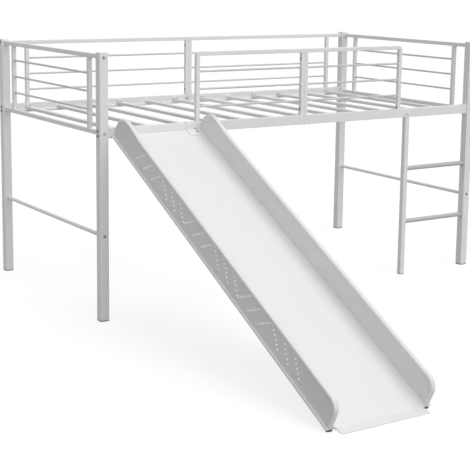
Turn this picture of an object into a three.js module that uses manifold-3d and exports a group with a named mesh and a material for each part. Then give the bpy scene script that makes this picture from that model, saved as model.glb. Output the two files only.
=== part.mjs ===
// Low loft bed of square steel tube with a moulded slide and a short ladder.
// Millimetres. X runs along the bed from the outer face of the left posts, Y from the outer
// face of the front posts to the back, Z up from the floor. The slide leaves towards -Y.

import * as THREE from 'three';
import { mergeVertices } from 'three/addons/utils/BufferGeometryUtils.js';
import Module from 'manifold-3d';

const wasm = await Module();
wasm.setup();

// Overall sizes
const bedLength = 1975;
const bedWidth = 1015;
const postHeight = 1075;

// Fits shared by all parts
const fit = {
  gap: 0.3,
  weld: 1,
  overrun: 5,
  boltClearance: 0.3,
};

// Levels of the bolts, tubes and rods above the floor
const level = {
  tubeBelowTop: 17,
  rodAboveRail: 62,
  endBottomTube: 758,
  stretcher: 348,
  rungUpper: 500,
  rungPitch: 250,
  railBottom: 740,
};
const rodCount = 3;
const socketSides = 6;

// Corner posts and their foot caps
const post = {
  side: 38,
  wall: 2,
  corner: 4,
  topPlate: 3,
  topEdge: 1.5,
};
const footCap = {
  thickness: 4.5,
  edge: 1.5,
  spigot: 20,
  spigotWall: 2.5,
};

// Square tube of the end frames and guards, with its thin rods
const tube = {
  side: 16,
  wall: 1.5,
  edge: 1.5,
  plug: 14,
  rodDiameter: 8,
};
const endFrame = {
  uprightInset: 128,
  plateSide: 20,
  plateThickness: 2.5,
};
const stretcher = {
  diameter: 16,
  wall: 1.5,
};

// Side rails, made of two halves with a sleeve in the joint
const rail = {
  setBack: 5,
  width: 22,
  height: 40,
  ledgeDepth: 12,
  ledgeHeight: 10,
  wall: 2,
  corner: 2,
  collarLength: 32,
  collarRise: 1.5,
  endPlate: 3,
  sleeveReach: 60,
};

// Slats and their end holders
const slat = {
  count: 12,
  endInset: 129.5,
  width: 25,
  height: 14,
  wall: 1.2,
  corner: 2,
  holderWidth: 27,
  holderHeight: 24,
  holderDepth: 14,
  holderCorner: 6,
  plainEvery: 3,
  firstPlain: 2,
};

// Guards on the rails
const guard = {
  frontEntry: 443,
  bend: 18,
  tabThickness: 2.5,
  tabRise: 24,
  tabDrop: 26,
};

// Ladder
const ladder = {
  legInset: 393,
  legSide: 24,
  legWall: 1.8,
  legCorner: 3,
  legFront: 2.2,
  tabRise: 28,
  tabThickness: 2.5,
  rungDiameter: 19,
  rungWall: 1.5,
  flangeDiameter: 30,
  flangeRoot: 22,
  flangeLength: 7,
  capThickness: 4,
};

// Slide chute, whose own sizes run down the slope and square to it
const chute = {
  centre: 264,
  length: 1604,
  topHeight: 750.2,
  endHeight: 9.55,
  insideWidth: 372,
  wallWidth: 19,
  wallHeight: 100,
  sheet: 3.5,
  bedThickness: 4,
  bedFillet: 8,
  endCorner: 45,
  rimEdge: 7,
  flangeReach: 8,
  flangeThickness: 4,
  flangeLip: 3,
};
const bracket = {
  besideFillet: 5,
  width: 44,
  thickness: 2.5,
  rearDrop: 5,
  bedReach: 42,
};
const floorPlate = {
  besideFillet: 0.5,
  thickness: 2.5,
  lap: 9,
  reach: 37,
  tipHeight: 1,
};
const slideFoot = {
  length: 14,
  width: 19,
};

// Button head bolts with a hexagon socket
const bolt = {
  diameter: 6,
  headDiameter: 12,
  headHeight: 3.6,
  socketWidth: 4,
  socketDepth: 2,
  grip: 12,
  spread: 3.4,
  railSpread: 9,
};
const nutPlate = {
  width: 11,
  height: 32,
  thickness: 5,
};

// Facets on each arc or turned form
const facets = {
  edge: 1,
  corner: 3,
  bend: 8,
  rim: 3,
  hole: 8,
  rod: 8,
  round: 16,
  bolt: 10,
};

const quarterTurn = Math.PI / 2;
const midX = bedLength / 2;
const postMid = post.side / 2;
const postInner = post.side + fit.gap;
const railTop = level.railBottom + rail.height;
const ledgeTop = level.railBottom + rail.ledgeHeight;
const railBack = rail.setBack + rail.width;
const jointX = midX - fit.gap / 2;
const guardFloor = railTop + fit.gap;
const topTube = postHeight - level.tubeBelowTop;
const rodFloor = railTop + level.rodAboveRail;
const rodPitch = (topTube - rodFloor) / rodCount;
const rodLevels = Array.from({ length: rodCount }, (_, i) => rodFloor + i * rodPitch);
const endBoltZ = topTube - bolt.spread;
const guardBoltZ = topTube + bolt.spread;
const railBoltLevels = [level.endBottomTube - bolt.railSpread, level.endBottomTube + bolt.railSpread];

// Directions of extrusion, each with the plane in which its section is drawn
const unitX = new THREE.Vector3(1, 0, 0);
const unitY = new THREE.Vector3(0, 1, 0);
const unitZ = new THREE.Vector3(0, 0, 1);
const frames = {
  x: { matrix: new THREE.Matrix4().makeBasis(unitY, unitZ, unitX), sign: 1 },
  y: { matrix: new THREE.Matrix4().makeBasis(unitX, unitZ, unitY.clone().negate()), sign: -1 },
  z: { matrix: new THREE.Matrix4().makeBasis(unitX, unitY, unitZ), sign: 1 },
};

// Solids

function toSolid(geometry) {
  const bare = geometry.clone();
  bare.deleteAttribute('normal');
  bare.deleteAttribute('uv');
  const merged = mergeVertices(bare);
  const vertProperties = new Float32Array(merged.attributes.position.array);
  const triVerts = new Uint32Array(merged.index.array);
  return new wasm.Manifold(new wasm.Mesh({ numProp: 3, vertProperties, triVerts }));
}

function toGeometry(solid) {
  const mesh = solid.getMesh();
  const geometry = new THREE.BufferGeometry();
  geometry.setAttribute('position', new THREE.BufferAttribute(mesh.vertProperties, mesh.numProp));
  geometry.setIndex(new THREE.BufferAttribute(mesh.triVerts, 1));
  const flat = geometry.toNonIndexed();
  flat.computeVertexNormals();
  return flat;
}

function join(solids) {
  return solids.reduce((whole, solid) => whole.add(solid));
}

function cut(solid, tools) {
  return tools.reduce((rest, tool) => rest.subtract(tool), solid);
}

function mirrorX(solid) {
  return solid.mirror([1, 0, 0]).translate([bedLength, 0, 0]);
}

function mirrorY(solid) {
  return solid.mirror([0, 1, 0]).translate([0, bedWidth, 0]);
}

// Extrudes a shape between two places of an axis. A bevel rounds both ends inwards.
// A shape gives each arc two facets for one curve segment.
function extrude(shape, frame, from, to, arcFacets = facets.edge, bevel = 0, bevelSegments = facets.edge) {
  const start = frame.sign > 0 ? from : -to;
  const depth = to - from - 2 * bevel;
  const geometry = new THREE.ExtrudeGeometry(shape, {
    depth,
    curveSegments: Math.round(arcFacets) / 2,
    bevelEnabled: bevel > 0,
    bevelThickness: bevel,
    bevelSize: bevel,
    bevelOffset: -bevel,
    bevelSegments: Math.round(bevelSegments),
  });
  geometry.translate(0, 0, start + bevel);
  geometry.applyMatrix4(frame.matrix);
  return toSolid(geometry);
}

function roundedRect(width, height, radius, midU = 0, midV = 0) {
  const u = width / 2 - radius;
  const v = height / 2 - radius;
  const shape = new THREE.Shape();
  shape.absarc(midU + u, midV + v, radius, 0, quarterTurn);
  shape.absarc(midU - u, midV + v, radius, quarterTurn, 2 * quarterTurn);
  shape.absarc(midU - u, midV - v, radius, 2 * quarterTurn, 3 * quarterTurn);
  shape.absarc(midU + u, midV - v, radius, 3 * quarterTurn, 4 * quarterTurn);
  shape.closePath();
  return shape;
}

function rect(left, bottom, right, top) {
  const shape = new THREE.Shape();
  shape.moveTo(left, bottom);
  shape.lineTo(right, bottom);
  shape.lineTo(right, top);
  shape.lineTo(left, top);
  shape.closePath();
  return shape;
}

function disc(radius, midU = 0, midV = 0) {
  const shape = new THREE.Shape();
  shape.absarc(midU, midV, radius, 0, 4 * quarterTurn);
  return shape;
}

function centredRect(width, height, midU, midV) {
  return rect(midU - width / 2, midV - height / 2, midU + width / 2, midV + height / 2);
}

// Straight bars along an axis, centred on a place of the two other axes
function squareBar(axis, side, radius, from, to, midU, midV) {
  return extrude(roundedRect(side, side, radius, midU, midV), frames[axis], from, to);
}

function sharpBar(axis, side, from, to, midU, midV) {
  return extrude(centredRect(side, side, midU, midV), frames[axis], from, to);
}

function roundBar(axis, diameter, from, to, midU, midV, segments = facets.rod) {
  return extrude(disc(diameter / 2, midU, midV), frames[axis], from, to, segments);
}

function boltHole(axis, from, to, midU, midV) {
  return roundBar(axis, bolt.diameter + 2 * fit.boltClearance, from, to, midU, midV, facets.hole);
}

// Bolts

// A bolt along +Z whose head rests on the plane z = 0 and whose shank hangs below it
function boltSolid(shank) {
  const shankRadius = bolt.diameter / 2;
  const headRadius = bolt.headDiameter / 2;
  const crownShare = 0.62;
  const brimShare = 0.35;
  const profile = [
    [0, -shank],
    [shankRadius, -shank],
    [shankRadius, 0],
    [headRadius, 0],
    [headRadius, bolt.headHeight * brimShare],
    [headRadius * crownShare, bolt.headHeight],
    [0, bolt.headHeight],
  ].map(([radius, height]) => new THREE.Vector2(radius, height));
  const turned = new THREE.LatheGeometry(profile, facets.bolt);
  turned.rotateX(quarterTurn);
  const socketFloor = bolt.headHeight - bolt.socketDepth;
  const socketTop = bolt.headHeight + fit.overrun;
  const socketCorners = bolt.socketWidth / Math.cos(Math.PI / socketSides);
  return toSolid(turned).subtract(roundBar('z', socketCorners, socketFloor, socketTop, 0, 0, socketSides));
}

// Turns a bolt so that its head looks along a direction and sets it on a face
function placeBolt(solid, direction, place) {
  const turn = new THREE.Matrix4().makeRotationFromQuaternion(
    new THREE.Quaternion().setFromUnitVectors(unitZ, direction),
  );
  turn.setPosition(place);
  return solid.transform(turn.elements);
}

const endBoltShank = post.side + fit.gap + bolt.grip;
const outward = { front: unitY.clone().negate(), left: unitX.clone().negate() };

// The bolts in the front face of the front left post
function postBolt(z) {
  const place = new THREE.Vector3(postMid, -fit.gap, z);
  return placeBolt(boltSolid(endBoltShank), outward.front, place);
}

function guardTopBolt() {
  const place = new THREE.Vector3(-fit.gap, postMid, guardBoltZ);
  return mirrorY(placeBolt(boltSolid(endBoltShank), outward.left, place));
}

// Two rail bolts with the nut plate that holds them behind the rail's end plate
function railBolts() {
  const plateStart = postInner + rail.endPlate + fit.gap;
  const plateMidZ = level.railBottom + rail.wall + fit.gap + nutPlate.height / 2;
  const plate = extrude(
    centredRect(nutPlate.width, nutPlate.height, postMid, plateMidZ),
    frames.x,
    plateStart,
    plateStart + nutPlate.thickness,
  );
  const bolts = railBoltLevels.map((z) =>
    placeBolt(boltSolid(endBoltShank), outward.left, new THREE.Vector3(-fit.gap, postMid, z)),
  );
  return join([plate, ...bolts]);
}

// Posts

// The front left post. The back posts have one more hole, for the guard's top tube.
function postSolid(carriesGuard) {
  const foot = footCap.thickness + fit.gap;
  const innerSide = post.side - 2 * post.wall;
  const shell = extrude(
    roundedRect(post.side, post.side, post.corner, postMid, postMid),
    frames.z,
    foot,
    postHeight,
    facets.corner,
    post.topEdge,
  );
  const bore = sharpBar('z', innerSide, foot - fit.overrun, postHeight - post.topPlate, postMid, postMid);
  const from = -fit.overrun;
  const to = post.side + fit.overrun;
  const frontHoles = [endBoltZ, level.endBottomTube, level.stretcher].map((z) =>
    boltHole('y', from, to, postMid, z),
  );
  const sideLevels = carriesGuard ? [...railBoltLevels, guardBoltZ] : railBoltLevels;
  const sideHoles = sideLevels.map((z) => boltHole('x', from, to, postMid, z));
  return cut(shell, [bore, ...frontHoles, ...sideHoles]);
}

function footCapSolid() {
  const spigotSide = post.side - 2 * post.wall - 2 * fit.gap;
  const boreSide = spigotSide - 2 * footCap.spigotWall;
  const sole = extrude(
    roundedRect(post.side, post.side, post.corner, postMid, postMid),
    frames.z,
    0,
    footCap.thickness,
    facets.corner,
    footCap.edge,
  );
  const from = footCap.thickness - fit.weld;
  const to = footCap.thickness + footCap.spigot;
  const spigot = sharpBar('z', spigotSide, from, to, postMid, postMid);
  const bore = sharpBar('z', boreSide, footCap.thickness, to + fit.overrun, postMid, postMid);
  return join([sole, spigot]).subtract(bore);
}

// End frames

function endFrameSolid() {
  const start = postInner;
  const end = bedWidth - postInner;
  const innerSide = tube.side - 2 * tube.wall;
  const uprightYs = [endFrame.uprightInset, bedWidth - endFrame.uprightInset];
  const tubeLevels = [topTube, level.endBottomTube];
  const tubes = tubeLevels.map((z) => squareBar('y', tube.side, tube.edge, start, end, postMid, z));
  const uprights = uprightYs.map((y) =>
    squareBar('z', tube.side, tube.edge, level.endBottomTube, topTube, postMid, y),
  );
  const halfSide = tube.side / 2;
  const rods = rodLevels.map((z) =>
    roundBar(
      'y',
      tube.rodDiameter,
      uprightYs[0] + halfSide - fit.weld,
      uprightYs[1] - halfSide + fit.weld,
      postMid,
      z,
    ),
  );
  const plateShape = (z) => roundedRect(endFrame.plateSide, endFrame.plateSide, tube.edge, postMid, z);
  const plates = tubeLevels.flatMap((z) => [
    extrude(plateShape(z), frames.y, start, start + endFrame.plateThickness),
    extrude(plateShape(z), frames.y, end - endFrame.plateThickness, end),
  ]);
  const bores = [
    ...tubeLevels.map((z) =>
      sharpBar('y', innerSide, start + tube.plug, end - tube.plug, postMid, z),
    ),
    ...uprightYs.map((y) =>
      sharpBar('z', innerSide, level.endBottomTube, topTube, postMid, y),
    ),
  ];
  const holes = [endBoltZ, level.endBottomTube].flatMap((z) => [
    boltHole('y', start - fit.overrun, start + tube.plug + fit.weld, postMid, z),
    boltHole('y', end - tube.plug - fit.weld, end + fit.overrun, postMid, z),
  ]);
  return cut(join([...tubes, ...uprights, ...rods, ...plates]), [...bores, ...holes]);
}

function stretcherSolid() {
  const start = postInner;
  const end = bedWidth - postInner;
  const body = roundBar('y', stretcher.diameter, start, end, postMid, level.stretcher, facets.round);
  const boreDiameter = stretcher.diameter - 2 * stretcher.wall;
  const bore = roundBar(
    'y',
    boreDiameter,
    start + tube.plug,
    end - tube.plug,
    postMid,
    level.stretcher,
    facets.round,
  );
  const hole = boltHole('y', start - fit.overrun, end + fit.overrun, postMid, level.stretcher);
  return cut(body, [bore, hole]);
}

// Side rails

// Outline of the rail's section in Y and Z, moved inwards by an inset
function railSection(inset) {
  const front = rail.setBack + inset;
  const back = railBack - inset;
  const ledgeBack = railBack + rail.ledgeDepth - inset;
  const bottom = level.railBottom + inset;
  const top = railTop - inset;
  const ledge = ledgeTop - inset;
  const round = Math.max(rail.corner - inset, 0);
  const shape = new THREE.Shape();
  shape.moveTo(front + round, bottom);
  shape.lineTo(ledgeBack - round, bottom);
  shape.lineTo(ledgeBack, bottom + round);
  shape.lineTo(ledgeBack, ledge - round);
  shape.lineTo(ledgeBack - round, ledge);
  shape.lineTo(back, ledge);
  shape.lineTo(back, top - round);
  shape.lineTo(back - round, top);
  shape.lineTo(front + round, top);
  shape.lineTo(front, top - round);
  shape.lineTo(front, bottom + round);
  shape.closePath();
  return shape;
}

function railBoxSection(inset) {
  return rect(
    rail.setBack + inset,
    level.railBottom + inset,
    railBack - inset,
    railTop - inset,
  );
}

// The left half of the front rail, without the sleeve
function railHalf() {
  const start = postInner;
  const body = extrude(railSection(0), frames.x, start, jointX);
  const collar = extrude(
    rect(
      rail.setBack,
      level.railBottom - rail.collarRise,
      railBack + rail.collarRise,
      railTop + rail.collarRise,
    ),
    frames.x,
    start,
    start + rail.collarLength,
  );
  const bore = extrude(railSection(rail.wall), frames.x, start + rail.endPlate, jointX + fit.overrun);
  const holes = railBoltLevels.map((z) =>
    boltHole('x', start - fit.overrun, start + rail.endPlate + fit.weld, postMid, z),
  );
  return cut(join([body, collar]), [bore, ...holes]);
}

// The sleeve is fast in the left half and slides into the right half
function railSleeve() {
  const from = jointX - rail.sleeveReach;
  const to = jointX + rail.sleeveReach;
  const fast = extrude(railBoxSection(rail.wall - fit.weld), frames.x, from, jointX - fit.gap);
  const free = extrude(railBoxSection(rail.wall + fit.gap), frames.x, from, to);
  const bore = extrude(
    railBoxSection(2 * rail.wall + fit.gap),
    frames.x,
    from - fit.overrun,
    to + fit.overrun,
  );
  return join([fast, free]).subtract(bore);
}

// Slats

// A slat with holders at its ends, or a plain one that lies on the ledges
function slatSolid(x, isPlain) {
  const start = railBack + fit.gap;
  const end = bedWidth - start;
  const bottom = ledgeTop + fit.gap;
  const midZ = bottom + slat.height / 2;
  const body = extrude(
    roundedRect(slat.width, slat.height, slat.corner, x, midZ),
    frames.y,
    start,
    end,
  );
  const bore = extrude(
    centredRect(slat.width - 2 * slat.wall, slat.height - 2 * slat.wall, x, midZ),
    frames.y,
    start - fit.overrun,
    end + fit.overrun,
  );
  if (isPlain) {
    return body.subtract(bore);
  }
  const holderShape = roundedRect(
    slat.holderWidth,
    slat.holderHeight + slat.holderCorner,
    slat.holderCorner,
    x,
    bottom + (slat.holderHeight - slat.holderCorner) / 2,
  );
  const floorTrim = extrude(
    rect(
      x - slat.holderWidth,
      bottom - slat.holderHeight,
      x + slat.holderWidth,
      bottom,
    ),
    frames.y,
    start - fit.overrun,
    end + fit.overrun,
  );
  const holders = [
    extrude(holderShape, frames.y, start, start + slat.holderDepth, facets.corner),
    extrude(holderShape, frames.y, end - slat.holderDepth, end, facets.corner),
  ];
  return cut(join([body, ...holders]), [floorTrim, bore]);
}

// Guards

// Outline of a guard in X and Z with the outer top corner bent or square
function guardOutline(left, right, bottom, top, bend) {
  const shape = new THREE.Shape();
  shape.moveTo(left, bottom);
  shape.lineTo(right, bottom);
  shape.lineTo(right, top);
  if (bend > 0) {
    shape.absarc(left + bend, top - bend, bend, quarterTurn, 2 * quarterTurn);
  } else {
    shape.lineTo(left, top);
  }
  shape.closePath();
  return shape;
}

// A tab behind the foot of the upright at the joint, held by a bolt to the rail's inner face
function guardTab(x) {
  const half = tube.side / 2;
  const inner = railBack + fit.gap;
  const outer = inner + guard.tabThickness;
  const upper = extrude(
    rect(x - half, guardFloor, x + half, guardFloor + guard.tabRise),
    frames.y,
    postMid,
    outer,
  );
  const lower = extrude(
    rect(x - half, railTop - guard.tabDrop, x + half, guardFloor + fit.weld),
    frames.y,
    inner,
    outer,
  );
  return join([upper, lower]);
}

// A left front guard whose top tube bends down into its outer upright
function frontGuardSolid() {
  const left = guard.frontEntry;
  const right = jointX;
  const top = topTube + tube.side / 2;
  const from = postMid - tube.side / 2;
  const to = postMid + tube.side / 2;
  const side = tube.side;
  const wall = tube.wall;
  const outline = guardOutline(left, right, guardFloor, top, guard.bend);
  const opening = guardOutline(
    left + side,
    right - side,
    guardFloor - fit.overrun,
    top - side,
    guard.bend - side,
  );
  const boreOutline = guardOutline(
    left + wall,
    right - wall,
    guardFloor - fit.overrun,
    top - wall,
    guard.bend - wall,
  );
  const boreOpening = guardOutline(
    left + side - wall,
    right - side + wall,
    guardFloor - 2 * fit.overrun,
    top - side + wall,
    guard.bend - side + wall,
  );
  const shell = extrude(outline, frames.y, from, to, facets.bend, tube.edge).subtract(
    extrude(opening, frames.y, from - fit.overrun, to + fit.overrun, facets.bend),
  );
  const bore = extrude(boreOutline, frames.y, from + wall, to - wall, facets.bend).subtract(
    extrude(boreOpening, frames.y, from, to, facets.bend),
  );
  const rods = guardRods(left + side, right - side);
  return join([shell.subtract(bore), ...rods, guardTab(right - side / 2)]);
}

function guardRods(from, to) {
  return rodLevels.map((z) =>
    roundBar('x', tube.rodDiameter, from - fit.weld, to + fit.weld, postMid, z),
  );
}

// A left back guard, drawn at the front and mirrored by its caller
function backGuardSolid() {
  const start = postInner;
  const half = tube.side / 2;
  const outerX = endFrame.uprightInset;
  const innerX = jointX - half;
  const uprightXs = [outerX, innerX];
  const innerSide = tube.side - 2 * tube.wall;
  const top = squareBar('x', tube.side, tube.edge, start, jointX, postMid, topTube);
  const uprights = uprightXs.map((x) =>
    squareBar('z', tube.side, tube.edge, guardFloor, topTube, x, postMid),
  );
  const rods = guardRods(outerX + half, innerX - half);
  const bores = [
    sharpBar('x', innerSide, start + tube.plug, innerX, postMid, topTube),
    ...uprightXs.map((x) =>
      sharpBar('z', innerSide, guardFloor - fit.overrun, topTube, x, postMid),
    ),
  ];
  const hole = boltHole('x', start - fit.overrun, start + tube.plug + fit.weld, postMid, guardBoltZ);
  const shell = cut(join([top, ...uprights, ...rods]), [...bores, hole]);
  return shell.add(guardTab(innerX));
}

// Ladder

const legMidX = bedLength - ladder.legInset - ladder.legSide / 2;
const legMidY = ladder.legFront + ladder.legSide / 2;
const legTop = level.railBottom - fit.gap;
const rungLevels = [level.rungUpper, level.rungUpper - level.rungPitch];

function ladderLegSolid() {
  const foot = ladder.capThickness + fit.gap;
  const innerSide = ladder.legSide - 2 * ladder.legWall;
  const shell = extrude(
    roundedRect(ladder.legSide, ladder.legSide, ladder.legCorner, legMidX, legMidY),
    frames.z,
    foot,
    legTop,
    facets.corner,
  );
  const bore = sharpBar('z', innerSide, foot - fit.overrun, legTop - ladder.legWall, legMidX, legMidY);
  const tabTop = level.railBottom + ladder.tabRise;
  const tabRound = ladder.legSide / 2 - ladder.legCorner;
  const tabBottom = legTop - ladder.tabRise;
  const tabWidth = ladder.legSide - 2 * ladder.legCorner;
  const tab = extrude(
    roundedRect(tabWidth, tabTop - tabBottom, tabRound, legMidX, (tabTop + tabBottom) / 2),
    frames.y,
    ladder.legFront,
    ladder.legFront + ladder.tabThickness,
    facets.bend,
  );
  return shell.subtract(bore).add(tab);
}

function ladderCapSolid() {
  const spigotSide = ladder.legSide - 2 * ladder.legWall - 2 * fit.gap;
  const sole = extrude(
    roundedRect(ladder.legSide, ladder.legSide, ladder.legCorner, legMidX, legMidY),
    frames.z,
    0,
    ladder.capThickness,
    facets.corner,
  );
  const from = ladder.capThickness - fit.weld;
  const to = ladder.capThickness + footCap.spigot;
  return join([sole, sharpBar('z', spigotSide, from, to, legMidX, legMidY)]);
}

// A rung between the leg and the front right post, with a cup flange at the post
function rungSolid(z) {
  const start = bedLength - ladder.legInset + fit.gap;
  const end = bedLength - postInner;
  const profile = [
    [ladder.rungDiameter / 2 - ladder.rungWall, start],
    [ladder.rungDiameter / 2, start],
    [ladder.rungDiameter / 2, end - ladder.flangeLength],
    [ladder.flangeRoot / 2, end - ladder.flangeLength],
    [ladder.flangeDiameter / 2, end - ladder.rungWall],
    [ladder.flangeDiameter / 2, end],
    [ladder.rungDiameter / 2 - ladder.rungWall, end],
    [ladder.rungDiameter / 2 - ladder.rungWall, start],
  ].map(([radius, along]) => new THREE.Vector2(radius, along));
  const turned = new THREE.LatheGeometry(profile, facets.round);
  turned.rotateZ(-quarterTurn);
  turned.translate(0, legMidY + ladder.legFront, z);
  return toSolid(turned);
}

// Slide

const slope = Math.asin((chute.topHeight - chute.endHeight) / chute.length);
const down = new THREE.Vector3(0, -Math.cos(slope), -Math.sin(slope));
const square = new THREE.Vector3(0, -Math.sin(slope), Math.cos(slope));
const chuteStart = new THREE.Vector3(
  chute.centre,
  rail.setBack - fit.gap - chute.bedThickness * Math.sin(slope),
  chute.topHeight,
);
const chuteHalf = chute.insideWidth / 2;
const chuteOuter = chuteHalf + chute.wallWidth;

// Side views are drawn down the slope and square to it, sections across and square to it
const chuteSide = {
  matrix: new THREE.Matrix4()
    .makeBasis(down, square, unitX.clone().negate())
    .setPosition(chuteStart),
  sign: -1,
};
const chuteAcross = {
  matrix: new THREE.Matrix4().makeBasis(unitX, square, down).setPosition(chuteStart),
  sign: 1,
};

// Side outline of a chute wall with rounded upper corners, moved inwards by an inset
function wallOutline(inset, bottom) {
  const left = inset;
  const right = chute.length - inset;
  const top = chute.wallHeight - inset;
  const round = chute.endCorner - inset;
  const shape = new THREE.Shape();
  shape.moveTo(left, bottom);
  shape.lineTo(right, bottom);
  shape.absarc(right - round, top - round, round, 0, quarterTurn);
  shape.absarc(left + round, top - round, round, quarterTurn, 2 * quarterTurn);
  shape.closePath();
  return shape;
}

// The right wall: a hollow hood with a rounded rim, open below
function chuteWall() {
  const deep = -chute.bedThickness - 2 * chute.rimEdge;
  const hood = extrude(
    wallOutline(0, deep),
    chuteSide,
    chuteHalf,
    chuteOuter,
    facets.bend,
    chute.rimEdge,
    facets.rim,
  );
  const hollow = extrude(
    wallOutline(chute.sheet, deep - fit.overrun),
    chuteSide,
    chuteHalf + chute.sheet,
    chuteOuter - chute.sheet,
    facets.bend,
  );
  const trim = extrude(
    rect(-fit.overrun, 2 * deep, chute.length + fit.overrun, -chute.bedThickness),
    chuteSide,
    chuteHalf - fit.overrun,
    chuteOuter + fit.overrun,
  );
  return cut(hood, [hollow, trim]);
}

// The out-turned edge along the foot of a wall
function chuteFlange() {
  const start = chuteOuter - chute.sheet / 2;
  const end = chuteOuter + chute.flangeReach;
  const bottom = -chute.bedThickness;
  const shape = new THREE.Shape();
  shape.moveTo(start, bottom);
  shape.lineTo(end, bottom);
  shape.lineTo(end, bottom + chute.flangeThickness + chute.flangeLip);
  shape.lineTo(end - chute.flangeLip, bottom + chute.flangeThickness);
  shape.lineTo(start, bottom + chute.flangeThickness);
  shape.closePath();
  return extrude(shape, chuteAcross, 0, chute.length);
}

// The sliding surface with a fillet into both walls
function chuteBed() {
  const edge = chuteHalf + chute.sheet / 2;
  const fillet = chute.bedFillet;
  const shape = new THREE.Shape();
  shape.moveTo(-edge, -chute.bedThickness);
  shape.lineTo(edge, -chute.bedThickness);
  shape.lineTo(edge, fillet);
  shape.lineTo(chuteHalf, fillet);
  shape.absarc(chuteHalf - fillet, fillet, fillet, 0, -quarterTurn, true);
  shape.absarc(fillet - chuteHalf, fillet, fillet, -quarterTurn, -2 * quarterTurn, true);
  shape.lineTo(-edge, fillet);
  shape.closePath();
  return extrude(shape, chuteAcross, 0, chute.length, facets.corner);
}

function chuteSolid() {
  const sides = [chuteWall(), chuteFlange()];
  const mirrored = sides.map((solid) =>
    solid.mirror([1, 0, 0]).translate([2 * chute.centre, 0, 0]),
  );
  return join([chuteBed(), ...sides, ...mirrored]);
}

// A strip bent over the rail, down its front and on along the sliding surface
function bracketSolid() {
  const t = bracket.thickness;
  const front = rail.setBack - fit.gap;
  const top = railTop + fit.gap;
  const back = railBack + fit.gap;
  const rise = fit.gap / Math.cos(slope);
  const kneeY = front - t;
  const surface = (y) => chuteStart.z + rise + (y - chuteStart.y) * Math.tan(slope);
  const lift = t / Math.cos(slope);
  const reachY = kneeY - bracket.bedReach * Math.cos(slope);
  const shape = new THREE.Shape();
  shape.moveTo(back + t, top - bracket.rearDrop);
  shape.lineTo(back + t, top + t);
  shape.lineTo(kneeY, top + t);
  shape.lineTo(kneeY, surface(kneeY) + lift);
  shape.lineTo(reachY, surface(reachY) + lift);
  shape.lineTo(reachY, surface(reachY));
  shape.lineTo(front, surface(front));
  shape.lineTo(front, top);
  shape.lineTo(back, top);
  shape.lineTo(back, top - bracket.rearDrop);
  shape.closePath();
  const right = chute.centre + chuteHalf - chute.bedFillet - bracket.besideFillet;
  return extrude(shape, frames.x, right - bracket.width, right);
}

// The ramp from the chute's end down to the floor
function floorPlateSolid() {
  const t = floorPlate.thickness;
  const onChute = (s, n) => {
    const point = chuteStart.clone().addScaledVector(down, s).addScaledVector(square, n);
    return [point.y, point.z];
  };
  const [lapY, lapZ] = onChute(chute.length - floorPlate.lap, fit.gap);
  const [lapTopY, lapTopZ] = onChute(chute.length - floorPlate.lap, fit.gap + t);
  const [endY, endZ] = onChute(chute.length + fit.gap, fit.gap);
  const [endTopY, endTopZ] = onChute(chute.length + fit.gap, fit.gap + t);
  const tipY = endY - floorPlate.reach;
  const shape = new THREE.Shape();
  shape.moveTo(lapY, lapZ);
  shape.lineTo(lapTopY, lapTopZ);
  shape.lineTo(endTopY, endTopZ);
  shape.lineTo(tipY, floorPlate.tipHeight);
  shape.lineTo(tipY, 0);
  shape.lineTo(tipY + floorPlate.reach / 2, 0);
  shape.lineTo(endY, endZ);
  shape.closePath();
  const half = chuteHalf - chute.bedFillet - floorPlate.besideFillet;
  return extrude(shape, frames.x, chute.centre - half, chute.centre + half);
}

// A wedge under the right wall's lower end
function slideFootSolid() {
  const start = chuteStart
    .clone()
    .addScaledVector(down, chute.length)
    .addScaledVector(square, -chute.bedThickness - fit.gap);
  const back = start.y + slideFoot.length;
  const shape = new THREE.Shape();
  shape.moveTo(start.y, 0);
  shape.lineTo(back, 0);
  shape.lineTo(back, start.z + slideFoot.length * Math.tan(slope));
  shape.lineTo(start.y, start.z);
  shape.closePath();
  const middle = chute.centre + (chuteHalf + chuteOuter) / 2;
  return extrude(shape, frames.x, middle - slideFoot.width / 2, middle + slideFoot.width / 2);
}

// Materials, one instance per mesh

const finish = {
  paint: () => new THREE.MeshStandardMaterial({ color: '#d9dbdc', roughness: 0.45, metalness: 0.1 }),
  rung: () => new THREE.MeshStandardMaterial({ color: '#b4b6b8', roughness: 0.5, metalness: 0.2 }),
  slide: () => new THREE.MeshStandardMaterial({ color: '#e9eaeb', roughness: 0.4, metalness: 0 }),
  steel: () => new THREE.MeshStandardMaterial({ color: '#5c5e61', roughness: 0.35, metalness: 0.9 }),
  plastic: () => new THREE.MeshStandardMaterial({ color: '#cfd1d2', roughness: 0.6, metalness: 0 }),
  rubber: () => new THREE.MeshStandardMaterial({ color: '#1d1d1e', roughness: 0.9, metalness: 0 }),
};

// Assembly

const group = new THREE.Group();
group.name = 'loft_bed_with_slide';

function addPart(name, solid, material) {
  const mesh = new THREE.Mesh(toGeometry(solid), material());
  mesh.name = name;
  group.add(mesh);
}

// The four corners of the bed, each reached by mirroring a front left piece
const corners = [
  { name: 'front_left', back: false, place: (solid) => solid },
  { name: 'front_right', back: false, place: mirrorX },
  { name: 'back_left', back: true, place: mirrorY },
  { name: 'back_right', back: true, place: (solid) => mirrorX(mirrorY(solid)) },
];
const sides = [
  { name: 'left', place: (solid) => solid },
  { name: 'right', place: mirrorX },
];

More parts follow.
